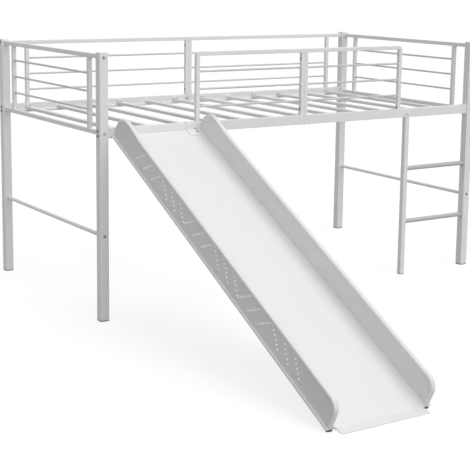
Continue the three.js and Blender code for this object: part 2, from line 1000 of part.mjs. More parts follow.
for (const corner of corners) {
  addPart(`post_${corner.name}`, corner.place(postSolid(corner.back)), finish.paint);
  addPart(`post_cap_${corner.name}`, corner.place(footCapSolid()), finish.plastic);
  addPart(`rail_bolts_${corner.name}`, corner.place(railBolts()), finish.steel);
  addPart(`bolt_end_top_${corner.name}`, corner.place(postBolt(endBoltZ)), finish.steel);
  addPart(`bolt_end_bottom_${corner.name}`, corner.place(postBolt(level.endBottomTube)), finish.steel);
  addPart(`bolt_stretcher_${corner.name}`, corner.place(postBolt(level.stretcher)), finish.steel);
}

for (const side of sides) {
  addPart(`end_frame_${side.name}`, side.place(endFrameSolid()), finish.paint);
  addPart(`end_stretcher_${side.name}`, side.place(stretcherSolid()), finish.paint);
  addPart(`front_guard_${side.name}`, side.place(frontGuardSolid()), finish.paint);
  addPart(`back_guard_${side.name}`, side.place(mirrorY(backGuardSolid())), finish.paint);
  addPart(`bolt_guard_back_${side.name}`, side.place(guardTopBolt()), finish.steel);
}

const railWithSleeve = railHalf().add(railSleeve());
addPart('front_rail_left', railWithSleeve, finish.paint);
addPart('front_rail_right', mirrorX(railHalf()), finish.paint);
addPart('back_rail_left', mirrorY(railWithSleeve), finish.paint);
addPart('back_rail_right', mirrorX(mirrorY(railHalf())), finish.paint);

const slatPitch = (bedLength - 2 * slat.endInset) / (slat.count - 1);
for (let i = 0; i < slat.count; i += 1) {
  const number = i + 1;
  const x = slat.endInset + i * slatPitch;
  const isPlain = number % slat.plainEvery === slat.firstPlain;
  addPart(`slat_${String(number).padStart(2, '0')}`, slatSolid(x, isPlain), finish.paint);
}

addPart('ladder_leg', ladderLegSolid(), finish.paint);
addPart('ladder_leg_cap', ladderCapSolid(), finish.plastic);
addPart('ladder_rung_upper', rungSolid(rungLevels[0]), finish.rung);
addPart('ladder_rung_lower', rungSolid(rungLevels[1]), finish.rung);

const mirrorSlide = (solid) => solid.mirror([1, 0, 0]).translate([2 * chute.centre, 0, 0]);
addPart('slide_chute', chuteSolid(), finish.slide);
addPart('slide_bracket_right', bracketSolid(), finish.paint);
addPart('slide_bracket_left', mirrorSlide(bracketSolid()), finish.paint);
addPart('slide_foot_right', slideFootSolid(), finish.rubber);
addPart('slide_foot_left', mirrorSlide(slideFootSolid()), finish.rubber);
addPart('slide_floor_plate', floorPlateSolid(), finish.slide);

// The origin goes to the middle of the part's footprint on the floor
const box = new THREE.Box3().setFromObject(group);
const centre = box.getCenter(new THREE.Vector3());
for (const mesh of group.children) {
  mesh.geometry.translate(-centre.x, -centre.y, -box.min.z);
}

export default group;
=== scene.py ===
"""Low loft bed of square steel tube with a moulded slide and a short ladder.

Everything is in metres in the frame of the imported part: X runs along the bed towards the
ladder end, Y from the slide's lower end to the bed's back, Z up from the floor.
"""

from __future__ import annotations

import logging
import math
from collections.abc import Sequence
from dataclasses import dataclass
from enum import Enum
from functools import cached_property

import bmesh
import bpy
from mathutils import Matrix, Vector


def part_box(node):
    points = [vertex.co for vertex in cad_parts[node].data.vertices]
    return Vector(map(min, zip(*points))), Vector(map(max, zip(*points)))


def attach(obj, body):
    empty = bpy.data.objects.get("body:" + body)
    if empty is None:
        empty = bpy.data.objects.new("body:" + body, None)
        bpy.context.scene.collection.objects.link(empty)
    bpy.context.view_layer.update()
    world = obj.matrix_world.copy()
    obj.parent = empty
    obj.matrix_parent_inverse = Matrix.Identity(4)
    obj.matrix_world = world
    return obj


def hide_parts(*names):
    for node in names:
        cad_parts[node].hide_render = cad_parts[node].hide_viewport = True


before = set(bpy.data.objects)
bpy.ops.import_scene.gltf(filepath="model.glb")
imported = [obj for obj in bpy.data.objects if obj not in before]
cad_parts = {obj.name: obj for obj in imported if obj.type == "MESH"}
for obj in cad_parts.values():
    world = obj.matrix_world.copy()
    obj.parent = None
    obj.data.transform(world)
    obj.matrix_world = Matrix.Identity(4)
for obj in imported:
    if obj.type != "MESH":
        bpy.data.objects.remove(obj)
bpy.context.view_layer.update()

MM = 0.001
BODY = "root"
LOG = logging.getLogger("loft_bed")
FULL_SPAN = (0.0, 1.0)
CLOUD_SPAN = (0.3, 0.7)

Ring = list[Vector]
Pair = tuple[float, float]
Triple = tuple[float, float, float]
Socket = bpy.types.NodeSocket


class Axis(Enum):
    """Direction in which a bar runs."""

    X = 0
    Y = 1
    Z = 2


class Side(Enum):
    """End of the bed, seen from the slide's side."""

    LEFT = -1
    RIGHT = 1

    @property
    def word(self) -> str:
        """Name of the side as the nodes spell it."""
        return self.name.lower()

    def outer(self, low: Vector, high: Vector) -> float:
        """X of the face of a box that looks away from the bed's middle."""
        return low.x if self is Side.LEFT else high.x

    def inner(self, low: Vector, high: Vector) -> float:
        """X of the face of a box that looks to the bed's middle."""
        return high.x if self is Side.LEFT else low.x


class Face(Enum):
    """Long side of the bed."""

    FRONT = -1
    BACK = 1

    @property
    def word(self) -> str:
        """Name of the long side as the nodes spell it."""
        return self.name.lower()

    def outer(self, low: Vector, high: Vector) -> float:
        """Y of the face of a box that looks away from the bed's middle."""
        return low.y if self is Face.FRONT else high.y

    def inner(self, low: Vector, high: Vector) -> float:
        """Y of the face of a box that looks to the bed's middle."""
        return high.y if self is Face.FRONT else low.y


class PostBolt(Enum):
    """Bolt in the front or back face of a post, as its node spells it."""

    END_TOP = "end_top"
    END_BOTTOM = "end_bottom"
    STRETCHER = "stretcher"


class Rung(Enum):
    """Rung of the ladder, as its node spells it."""

    UPPER = "upper"
    LOWER = "lower"


def rounded_ring(half_u: float, half_v: float, radius: float, steps: int) -> list[Pair]:
    """Points of a rectangle with round corners, counter-clockwise.

    Args:
        half_u: Half of the width.
        half_v: Half of the height.
        radius: Radius of the corners.
        steps: Facets on each corner.

    Returns:
        Pairs of coordinates around the middle.
    """
    radius = min(radius, half_u, half_v)
    points = []
    for quarter in range(4):
        start = quarter * math.pi / 2
        mid_u = (half_u - radius) * (1 if quarter in (0, 3) else -1)
        mid_v = (half_v - radius) * (1 if quarter in (0, 1) else -1)
        for step in range(steps + 1):
            angle = start + step / steps * math.pi / 2
            points.append((mid_u + radius * math.cos(angle), mid_v + radius * math.sin(angle)))
    return points


def rounded_path(points: Sequence[Pair], radius: float, steps: int) -> list[Pair]:
    """Replaces each inner corner of a path by a smooth bend.

    Args:
        points: Corners of the path.
        radius: Distance from a corner at which its bend starts.
        steps: Facets on each bend.

    Returns:
        Points along the smoothed path.
    """
    path = [points[0]]
    for before, corner, after in zip(points, points[1:], points[2:]):
        middle = Vector(corner)
        start = middle + (Vector(before) - middle).normalized() * radius
        end = middle + (Vector(after) - middle).normalized() * radius
        for step in range(steps + 1):
            t = step / steps
            bend = start.lerp(middle, t).lerp(middle.lerp(end, t), t)
            path.append((bend.x, bend.y))
    path.append(points[-1])
    return path


class Form:
    """Vertices and faces of one piece while it is being built."""

    def __init__(self) -> None:
        """Starts an empty form painted with its first finish."""
        self.points: list[Vector] = []
        self.faces: list[tuple[int, ...]] = []
        self.paints: list[int] = []
        self.paint = 0

    def face(self, corners: Sequence[int]) -> None:
        """Adds one face with the current paint."""
        self.faces.append(tuple(corners))
        self.paints.append(self.paint)

    def ring(self, points: Sequence[Vector]) -> list[int]:
        """Adds a closed ring of points.

        Args:
            points: Points in their order round the ring.

        Returns:
            Numbers of the points in the form.
        """
        start = len(self.points)
        self.points.extend(Vector(point) for point in points)
        return list(range(start, len(self.points)))

    def loft(self, rings: Sequence[Sequence[Vector]], caps: bool = True, skip_last: bool = False) -> None:
        """Skins a row of rings with the same number of points.

        Args:
            rings: Rings from one end to the other.
            caps: Whether both ends are closed.
            skip_last: Whether the strip between each ring's last and first point stays open.
        """
        numbered = [self.ring(points) for points in rings]
        count = len(numbered[0])
        strips = count - 1 if skip_last else count
        for low, high in zip(numbered, numbered[1:]):
            for index in range(strips):
                following = (index + 1) % count
                self.face((low[index], low[following], high[following], high[index]))
        if caps:
            self.face(tuple(reversed(numbered[0])))
            self.face(numbered[-1])

    def bar(
        self, low: Vector, high: Vector, axis: Axis, corner: float, end: float = 0.0, steps: int = 4
    ) -> None:
        """Adds a bar of rounded section between two corners of its box.

        Args:
            low: Lowest corner.
            high: Highest corner.
            axis: Direction in which the bar runs.
            corner: Radius of the long edges.
            end: Radius of the edges round both ends.
            steps: Facets on each corner.
        """
        along = axis.value
        first = (along + 1) % 3
        second = (along + 2) % 3
        middle = (Vector(low) + Vector(high)) / 2
        half = (Vector(high) - Vector(low)) / 2
        stations = [(-half[along], 0.0)]
        if end > 0:
            stations = []
            for step in reversed(range(steps + 1)):
                turn = step / steps * math.pi / 2
                stations.append((-half[along] + end * (1 - math.sin(turn)), end * (1 - math.cos(turn))))
        stations += [(-place, inset) for place, inset in reversed(stations)]
        rings = []
        for place, inset in stations:
            ring = []
            for u, v in rounded_ring(half[first] - inset, half[second] - inset, corner, steps):
                point = middle.copy()
                point[along] += place
                point[first] += u
                point[second] += v
                ring.append(point)
            rings.append(ring)
        self.loft(rings)

    def turned(self, seat: Vector, direction: Vector, profile: Sequence[Pair], sides: int) -> None:
        """Adds a turned form.

        Args:
            seat: Point of the axis from which the profile is measured.
            direction: Direction of the axis.
            profile: Pairs of radius and distance along the axis.
            sides: Facets round the axis.
        """
        turn = Vector((0, 0, 1)).rotation_difference(Vector(direction))
        rings = []
        for radius, along in profile:
            ring = []
            for side in range(sides):
                angle = side / sides * 2 * math.pi
                local = Vector((radius * math.cos(angle), radius * math.sin(angle), along))
                ring.append(Vector(seat) + turn @ local)
            rings.append(ring)
        self.loft(rings)

    def rod(self, start: Vector, end: Vector, radius: float, flare: float = 0.0, sides: int = 20) -> None:
        """Adds a round rod whose welded ends spread a little.

        Args:
            start: Middle of the first end.
            end: Middle of the last end.
            radius: Radius of the rod.
            flare: How far the weld at both ends stands out and reaches along the rod.
            sides: Facets round the rod.
        """
        length = (Vector(end) - Vector(start)).length
        profile = [(radius, 0.0), (radius, length)]
        if flare > 0:
            flare_shares = [(1.0, 0.0), (0.75, 0.35), (0.3, 0.8), (0.0, 1.6)]
            near = [(radius + flare * out, flare * along) for out, along in flare_shares]
            profile = near + [(wide, length - along) for wide, along in reversed(near)]
        self.turned(start, Vector(end) - Vector(start), profile, sides)

    def bead(
        self,
        loop: Sequence[Vector],
        radius: float,
        ripple: float = 0.18,
        ripple_turn: float = 2.1,
        sides: int = 8,
    ) -> None:
        """Adds a weld bead round a flat closed loop.

        Args:
            loop: Points of the loop.
            radius: Radius of the bead.
            ripple: Share by which the bead swells from one puddle to the next.
            ripple_turn: Angle of the ripple from one point to the next, in radians.
            sides: Facets round the bead.
        """
        count = len(loop)
        middle = sum((Vector(point) for point in loop), Vector()) / count
        normal = (Vector(loop[0]) - middle).cross(Vector(loop[count // 4]) - middle).normalized()
        rings = []
        for index, point in enumerate(loop):
            ahead = Vector(loop[(index + 1) % count]) - Vector(loop[index - 1])
            outward = ahead.cross(normal).normalized()
            size = radius * (1 + ripple * math.sin(index * ripple_turn))
            ring = []
            for side in range(sides):
                angle = side / sides * 2 * math.pi
                spoke = outward * math.cos(angle) + normal * math.sin(angle)
                ring.append(Vector(point) + spoke * size)
            rings.append(ring)
        rings.append(rings[0])
        self.loft(rings, caps=False)

    def strip(self, path: Sequence[Pair], thickness: float, left: float, right: float) -> None:
        """Adds sheet metal bent along a path in Y and Z.

        Args:
            path: Points of one face of the sheet.
            thickness: Thickness, laid on the left of the path.
            left: Lowest X.
            right: Highest X.
        """
        flat = [Vector(point) for point in path]
        offsets = []
        for index, point in enumerate(flat):
            before = flat[max(index - 1, 0)]
            after = flat[min(index + 1, len(flat) - 1)]
            ahead = (after - before).normalized()
            offsets.append(point + Vector((-ahead.y, ahead.x)) * thickness)
        rings = []
        for near, far in zip(flat, offsets):
            rings.append(
                [
                    Vector((left, near.x, near.y)),
                    Vector((right, near.x, near.y)),
                    Vector((right, far.x, far.y)),
                    Vector((left, far.x, far.y)),
                ]
            )
        self.loft(rings)

    def build(
        self, name: str, materials: Sequence[bpy.types.Material], smooth_degrees: float = 38.0
    ) -> bpy.types.Object:
        """Makes the Blender object.

        Args:
            name: Name of the piece.
            materials: Finishes in the order in which the form was painted.
            smooth_degrees: Edges up to this angle are shaded smooth.

        Returns:
            The new object, linked to the scene.
        """
        mesh = bpy.data.meshes.new(name)
        mesh.from_pydata([tuple(point) for point in self.points], [], self.faces)
        for material in materials:
            mesh.materials.append(material)
        for polygon, paint in zip(mesh.polygons, self.paints):
            polygon.material_index = paint
            polygon.use_smooth = True
        work = bmesh.new()
        work.from_mesh(mesh)
        bmesh.ops.recalc_face_normals(work, faces=work.faces)
        work.to_mesh(mesh)
        work.free()
        mesh.set_sharp_from_angle(angle=math.radians(smooth_degrees))
        piece = bpy.data.objects.new(name, mesh)
        bpy.context.scene.collection.objects.link(piece)
        weighted = piece.modifiers.new("even_shading", "WEIGHTED_NORMAL")
        weighted.keep_sharp = True
        return piece


class NodeBench:
    """A material whose nodes are laid out one after the other."""

    def __init__(self, name: str) -> None:
        """Starts a material with a shader that leads to its output.

        Args:
            name: Name of the material.
        """
        self.material = bpy.data.materials.new(name)
        self.material.use_nodes = True
        self.tree = self.material.node_tree
        self.tree.nodes.clear()
        self.output = self.tree.nodes.new("ShaderNodeOutputMaterial")
        self.shader = self.tree.nodes.new("ShaderNodeBsdfPrincipled")
        self.link(self.shader.outputs["BSDF"], self.output.inputs["Surface"])

    def link(self, source: Socket, target: Socket) -> None:
        """Joins two sockets."""
        self.tree.links.new(source, target)

    def feed(self, source: Socket, name: str) -> None:
        """Leads a socket to one of the shader's inputs."""
        self.link(source, self.shader.inputs[name])

    def fix(self, name: str, value: float | Triple | tuple[float, float, float, float]) -> None:
        """Gives one of the shader's inputs a plain value."""
        self.shader.inputs[name].default_value = value

    def place(self, scale: Triple = (1.0, 1.0, 1.0), tilt: float = 0.0) -> Socket:
        """Coordinates on the piece in metres.

        Args:
            scale: Stretch along X, Y and Z.
            tilt: Turn about X, in radians.

        Returns:
            The vector socket.
        """
        source = self.tree.nodes.new("ShaderNodeTexCoord")
        mapping = self.tree.nodes.new("ShaderNodeMapping")
        mapping.inputs["Rotation"].default_value = (tilt, 0.0, 0.0)
        mapping.inputs["Scale"].default_value = scale
        self.link(source.outputs["Object"], mapping.inputs["Vector"])
        return mapping.outputs["Vector"]

    def noise(self, place: Socket, scale: float, detail: float = 3.0) -> Socket:
        """Cloudy pattern from 0 to 1.

        Args:
            place: Coordinates to lay it over.
            scale: How many clouds there are to a metre.
            detail: How much finer the pattern goes on.

        Returns:
            The pattern.
        """
        node = self.tree.nodes.new("ShaderNodeTexNoise")
        node.inputs["Scale"].default_value = scale
        node.inputs["Detail"].default_value = detail
        self.link(place, node.inputs["Vector"])
        return node.outputs["Fac"]

    def spread(self, value: Socket, source: Pair, target: Pair) -> Socket:
        """Maps one range of a value on to another, clamped at both ends.

        Args:
            value: The value.
            source: Lowest and highest value that comes in.
            target: What these two become.

        Returns:
            The mapped value.
        """
        node = self.tree.nodes.new("ShaderNodeMapRange")
        node.inputs["From Min"].default_value = source[0]
        node.inputs["From Max"].default_value = source[1]
        node.inputs["To Min"].default_value = target[0]
        node.inputs["To Max"].default_value = target[1]
        self.link(value, node.inputs["Value"])
        return node.outputs["Result"]

    def cloud(self, place: Socket, scale: float, detail: float = 3.0) -> Socket:
        """Cloudy pattern that reaches 0 and 1."""
        return self.spread(self.noise(place, scale, detail), CLOUD_SPAN, FULL_SPAN)

    def mix(self, share: Socket, first: Socket | Triple, second: Socket | Triple) -> Socket:
        """Mixes two colours, each a socket or a plain colour.

        Args:
            share: How much of the second colour shows.
            first: Colour at share 0.
            second: Colour at share 1.

        Returns:
            The mixed colour.
        """
        node = self.tree.nodes.new("ShaderNodeMix")
        node.data_type = "RGBA"
        self.link(share, node.inputs["Factor"])
        for socket, colour in ((node.inputs[6], first), (node.inputs[7], second)):
            if isinstance(colour, tuple):
                socket.default_value = (*colour, 1.0)
            else:
                self.link(colour, socket)
        return node.outputs[2]

    def edges(self, span: Pair) -> Socket:
        """Share from 0 to 1 that is high on outer edges."""
        geometry = self.tree.nodes.new("ShaderNodeNewGeometry")
        return self.spread(geometry.outputs["Pointiness"], span, FULL_SPAN)

    def bump(self, heights: Sequence[tuple[Socket, float, float]]) -> None:
        """Stacks bumps on the shader.

        Args:
            heights: Each a height socket with its strength and its depth in metres.
        """
        normal = None
        for height, strength, distance in heights:
            node = self.tree.nodes.new("ShaderNodeBump")
            node.inputs["Strength"].default_value = strength
            node.inputs["Distance"].default_value = distance
            self.link(height, node.inputs["Height"])
            if normal is not None:
                self.link(normal, node.inputs["Normal"])
            normal = node.outputs["Normal"]
        self.feed(normal, "Normal")


def shade(colour: Triple, factor: float) -> Triple:
    """A colour made lighter or darker by a factor, at most white."""
    return tuple(min(1.0, channel * factor) for channel in colour)


def around(middle: float, below: float, above: float) -> Pair:
    """The range that reaches from below a middle to above it."""
    return (middle - below, middle + above)


@dataclass(frozen=True)
class PowderCoat:
    """Baked coat of paint on steel tube, with orange peel and outer edges painted slightly lighter as a
    painted highlight.
    """

    name: str
    colour: Triple
    roughness: float = 0.42
    smoother: float = 0.06
    rougher: float = 0.08
    shine: float = 0.45
    cloud_scale: float = 5.0
    cloud_tone: float = 0.965
    dust_scale: float = 38.0
    dust_detail: float = 5.0
    dust_span: Pair = (0.62, 0.8)
    dust_share: float = 0.35
    dust_tone: float = 0.93
    edge_span: Pair = (0.52, 0.62)
    edge_highlight_tone: float = 1.02
    handled_scale: float = 11.0
    handled_detail: float = 4.0
    handled_strength: float = 0.08
    handled_depth: float = 0.4 * MM
    peel_scale: float = 420.0
    peel_detail: float = 2.0
    peel_strength: float = 0.12
    peel_depth: float = 0.12 * MM

    def material(self) -> bpy.types.Material:
        """Builds the coat.

        Returns:
            The material.
        """
        bench = NodeBench(self.name)
        place = bench.place()
        cloud = bench.cloud(place, self.cloud_scale)
        base = bench.mix(cloud, shade(self.colour, self.cloud_tone), self.colour)
        specks = bench.noise(place, self.dust_scale, self.dust_detail)
        dust = bench.spread(specks, self.dust_span, (0.0, self.dust_share))
        dusted = bench.mix(dust, base, shade(self.colour, self.dust_tone))
        # Outer edges are painted lighter, which is a painted highlight
        edge_lit = bench.mix(bench.edges(self.edge_span), dusted, shade(self.colour, self.edge_highlight_tone))
        bench.feed(edge_lit, "Base Color")
        handled = bench.noise(place, self.handled_scale, self.handled_detail)
        roughness = around(self.roughness, self.smoother, self.rougher)
        bench.feed(bench.spread(handled, CLOUD_SPAN, roughness), "Roughness")
        peel = bench.noise(place, self.peel_scale, self.peel_detail)
        bench.bump(
            [
                (handled, self.handled_strength, self.handled_depth),
                (peel, self.peel_strength, self.peel_depth),
            ]
        )
        bench.fix("Specular IOR Level", self.shine)
        return bench.material


@dataclass(frozen=True)
class MouldedPlastic:
    """Blow-moulded plastic with a fine mould grain and faint scuffs down the slope."""

    name: str
    colour: Triple
    tilt: float
    roughness: float = 0.36
    rougher: float = 0.16
    cloud_scale: float = 3.0
    cloud_tone: float = 0.975
    scuff_stretch: Triple = (70.0, 1.2, 60.0)
    scuff_detail: float = 4.0
    scuff_span: Pair = (0.6, 0.74)
    scuff_share: float = 0.4
    scuff_tone: float = 0.95
    edge_span: Pair = (0.52, 0.6)
    edge_highlight_tone: float = 1.04
    flow_scale: float = 9.0
    flow_depth: float = 0.8 * MM
    grain_scale: float = 900.0
    grain_depth: float = 0.1 * MM
    mould_detail: float = 2.0
    mould_strength: float = 0.1
    glow_weight: float = 0.04
    glow_reach: float = 4 * MM

    def material(self) -> bpy.types.Material:
        """Builds the plastic.

        Returns:
            The material.
        """
        bench = NodeBench(self.name)
        place = bench.place()
        along = bench.place(self.scuff_stretch, self.tilt)
        cloud = bench.cloud(place, self.cloud_scale)
        base = bench.mix(cloud, shade(self.colour, self.cloud_tone), self.colour)
        streaks = bench.noise(along, 1.0, self.scuff_detail)
        scuffs = bench.spread(streaks, self.scuff_span, (0.0, self.scuff_share))
        scuffed = bench.mix(scuffs, base, shade(self.colour, self.scuff_tone))
        # Outer edges are painted lighter, which is a painted highlight
        edge_lit = bench.mix(bench.edges(self.edge_span), scuffed, shade(self.colour, self.edge_highlight_tone))
        bench.feed(edge_lit, "Base Color")
        roughness = around(self.roughness, 0.0, self.rougher)
        bench.feed(bench.spread(scuffs, (0.0, self.scuff_share), roughness), "Roughness")
        grain = bench.noise(place, self.grain_scale, self.mould_detail)
        flow = bench.noise(place, self.flow_scale, self.mould_detail)
        bench.bump(
            [(flow, self.mould_strength, self.flow_depth), (grain, self.mould_strength, self.grain_depth)]
        )
        bench.fix("Subsurface Weight", self.glow_weight)
        bench.fix("Subsurface Radius", (self.glow_reach,) * 3)
        return bench.material


@dataclass(frozen=True)
class PlainPlastic:
    """Small moulded plastic pieces such as caps and slat holders."""

    name: str
    colour: Triple
    roughness: float = 0.5
    smoother: float = 0.07
    rougher: float = 0.09
    cloud_scale: float = 30.0
    cloud_tone: float = 0.94
    edge_span: Pair = (0.52, 0.62)
    edge_highlight_tone: float = 1.1
    spot_scale: float = 140.0
    spot_detail: float = 4.0
    grain_scale: float = 1300.0
    grain_detail: float = 2.0
    grain_strength: float = 0.2
    grain_depth: float = 0.1 * MM

    def material(self) -> bpy.types.Material:
        """Builds the plastic.

        Returns:
            The material.
        """
        bench = NodeBench(self.name)
        place = bench.place()
        cloud = bench.cloud(place, self.cloud_scale)
        base = bench.mix(cloud, shade(self.colour, self.cloud_tone), self.colour)
        # Outer edges are painted lighter, which is a painted highlight
        edge_lit = bench.mix(bench.edges(self.edge_span), base, shade(self.colour, self.edge_highlight_tone))
        bench.feed(edge_lit, "Base Color")
        spots = bench.noise(place, self.spot_scale, self.spot_detail)
        roughness = around(self.roughness, self.smoother, self.rougher)
        bench.feed(bench.spread(spots, CLOUD_SPAN, roughness), "Roughness")
        grain = bench.noise(place, self.grain_scale, self.grain_detail)
        bench.bump([(grain, self.grain_strength, self.grain_depth)])
        return bench.material


@dataclass(frozen=True)
class PlatedSteel:
    """Zinc plate on fasteners, with turning marks and outer edges painted lighter as a painted highlight.
    """

    name: str
    colour: Triple
    roughness: float = 0.34
    smoother: float = 0.08
    rougher: float = 0.14
    metal: float = 0.85
    cloud_scale: float = 160.0
    cloud_detail: float = 4.0
    cloud_tone: float = 0.7
    edge_span: Pair = (0.53, 0.66)
    edge_highlight_tone: float = 2.2
    mark_scale: float = 1500.0
    mark_detail: float = 3.0
    mark_strength: float = 0.15
    mark_depth: float = 0.06 * MM

    def material(self) -> bpy.types.Material:
        """Builds the plate.

        Returns:
            The material.
        """
        bench = NodeBench(self.name)
        place = bench.place()
        cloud = bench.cloud(place, self.cloud_scale, self.cloud_detail)
        base = bench.mix(cloud, shade(self.colour, self.cloud_tone), self.colour)
        # Outer edges are painted lighter, which is a painted highlight
        edge_lit = bench.mix(bench.edges(self.edge_span), base, shade(self.colour, self.edge_highlight_tone))
        bench.feed(edge_lit, "Base Color")
        bench.fix("Metallic", self.metal)
        roughness = around(self.roughness, self.smoother, self.rougher)
        bench.feed(bench.spread(cloud, FULL_SPAN, roughness), "Roughness")
        marks = bench.noise(place, self.mark_scale, self.mark_detail)
        bench.bump([(marks, self.mark_strength, self.mark_depth)])
        return bench.material


@dataclass(frozen=True)
class Rubber:
    """Black moulded rubber with a dusty bloom."""

    name: str
    colour: Triple
    roughness_span: Pair = (0.62, 0.85)
    bloom_scale: float = 60.0
    bloom_detail: float = 5.0
    bloom_span: Pair = (0.45, 0.75)
    bloom_share: float = 0.7
    bloom_tone: float = 2.4
    edge_span: Pair = (0.52, 0.62)
    edge_highlight_tone: float = 3.0
    grain_scale: float = 700.0
    grain_detail: float = 3.0
    grain_strength: float = 0.35
    grain_depth: float = 0.2 * MM

    def material(self) -> bpy.types.Material:
        """Builds the rubber.

        Returns:
            The material.
        """
        bench = NodeBench(self.name)
        place = bench.place()
        dust = bench.noise(place, self.bloom_scale, self.bloom_detail)
        bloom = bench.spread(dust, self.bloom_span, (0.0, self.bloom_share))
        base = bench.mix(bloom, self.colour, shade(self.colour, self.bloom_tone))
        # Outer edges are painted lighter, which is a painted highlight
        edge_lit = bench.mix(bench.edges(self.edge_span), base, shade(self.colour, self.edge_highlight_tone))
        bench.feed(edge_lit, "Base Color")
        bench.feed(bench.spread(bloom, (0.0, self.bloom_share), self.roughness_span), "Roughness")
        grain = bench.noise(place, self.grain_scale, self.grain_detail)
        bench.bump([(grain, self.grain_strength, self.grain_depth)])
        return bench.material


@dataclass(frozen=True)
class Levels:
    """Heights and clearances that several sub-assemblies share."""

    rail_top: float = 780 * MM
    rail_bottom: float = 740 * MM
    ledge_top: float = 750 * MM
    top_tube: float = 1058 * MM
    end_bottom: float = 758 * MM
    rods: tuple[float, ...] = (986 * MM, 914 * MM, 842 * MM)
    gap: float = 0.3 * MM


LEVELS = Levels()


@dataclass(frozen=True)
class Slope:
    """The slide's own axes, and the sizes that its pieces share."""

    length: float = 1604 * MM
    top_level: float = 750.2 * MM
    end_level: float = 9.55 * MM
    half_inside: float = 186 * MM
    wall: float = 19 * MM
    bed: float = 4 * MM
    contour_sink: float = 3 * MM

    @cached_property
    def angle(self) -> float:
        """How far the slide dips below the level, in radians."""
        return math.asin((self.top_level - self.end_level) / self.length)

    @cached_property
    def half_outside(self) -> float:
        """Half of the width over both walls."""
        return self.half_inside + self.wall

    @cached_property
    def down(self) -> Vector:
        """Direction down the slope."""
        return Vector((0, -math.cos(self.angle), -math.sin(self.angle)))

    @cached_property
    def square(self) -> Vector:
        """Direction square to the sliding surface."""
        return Vector((0, -math.sin(self.angle), math.cos(self.angle)))

    @cached_property
    def origin(self) -> Vector:
        """Middle of the sliding surface's upper end.

        Returns:
            The point in the frame.
        """
        low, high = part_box("slide_chute")
        rail_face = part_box("front_rail_left")[0].y
        y = rail_face - LEVELS.gap - self.bed * math.sin(self.angle)
        return Vector(((low.x + high.x) / 2, y, self.top_level))

    def point(self, across: float, along: float, up: float) -> Vector:
        """Place on the slide.

        Args:
            across: Distance to the right of its middle.
            along: Distance down the slope from its top.
            up: Distance square to the sliding surface.

        Returns:
            The point in the frame.
        """
        return self.origin + Vector((across, 0, 0)) + self.down * along + self.square * up


SLOPE = Slope()

PAINT = PowderCoat("pale_powder_coat", (0.78, 0.785, 0.79)).material()
# Rods wear the frame's own paint; this darker copy is painted shade that makes the thin rods look darker
ROD_SHADED_PAINT = PowderCoat("rod_painted_shade_coat", (0.64, 0.645, 0.65)).material()
# Rungs wear the same paint as the frame; this darker grey copy is painted shade
RUNG_SHADED_PAINT = PowderCoat("rung_painted_shade_coat", (0.5, 0.505, 0.51), 0.48).material()
HOOK_PAINT = PowderCoat("white_powder_coat", (0.74, 0.745, 0.75)).material()
SLIDE_PLASTIC = MouldedPlastic("white_slide_plastic", (0.745, 0.75, 0.755), -SLOPE.angle).material()
# The dots are the slide's own plastic; this whiter copy is a painted highlight on the domes
DOT_HIGHLIGHT_PLASTIC = MouldedPlastic("dot_painted_highlight_plastic", (0.93, 0.935, 0.94), -SLOPE.angle).material()
CAP_PLASTIC = PlainPlastic("grey_cap_plastic", (0.36, 0.365, 0.37)).material()
HOLDER_PLASTIC = PlainPlastic("pale_holder_plastic", (0.7, 0.705, 0.71)).material()
DARK_ZINC = PlatedSteel("dark_zinc", (0.13, 0.13, 0.135)).material()
DULL_ZINC = PlatedSteel("dull_zinc", (0.46, 0.46, 0.47), 0.45).material()
# Bright zinc for nuts; on the bolts' socket floors it is a painted highlight
BRIGHT_ZINC_AND_SOCKET_HIGHLIGHT = PlatedSteel("bright_zinc", (0.8, 0.8, 0.81), 0.4).material()
RUBBER = Rubber("black_rubber", (0.018, 0.018, 0.019)).material()

# A bolt has the metal of its head first and, on its socket's floor, brighter zinc second, which is a
# painted highlight in the socket
DARK_BOLT = [DARK_ZINC, BRIGHT_ZINC_AND_SOCKET_HIGHLIGHT]
DULL_BOLT = [DULL_ZINC, BRIGHT_ZINC_AND_SOCKET_HIGHLIGHT]


def settle(piece: bpy.types.Object, nodes: Sequence[str] = ()) -> bpy.types.Object:
    """Hands a finished piece to the frame.

    Args:
        piece: The piece in place.
        nodes: Nodes of the frame that it stands for.

    Returns:
        The same piece.
    """
    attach(piece, BODY)
    if nodes:
        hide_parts(*nodes)
    LOG.info("built %s for %s", piece.name, ", ".join(nodes) or "no node")
    return piece


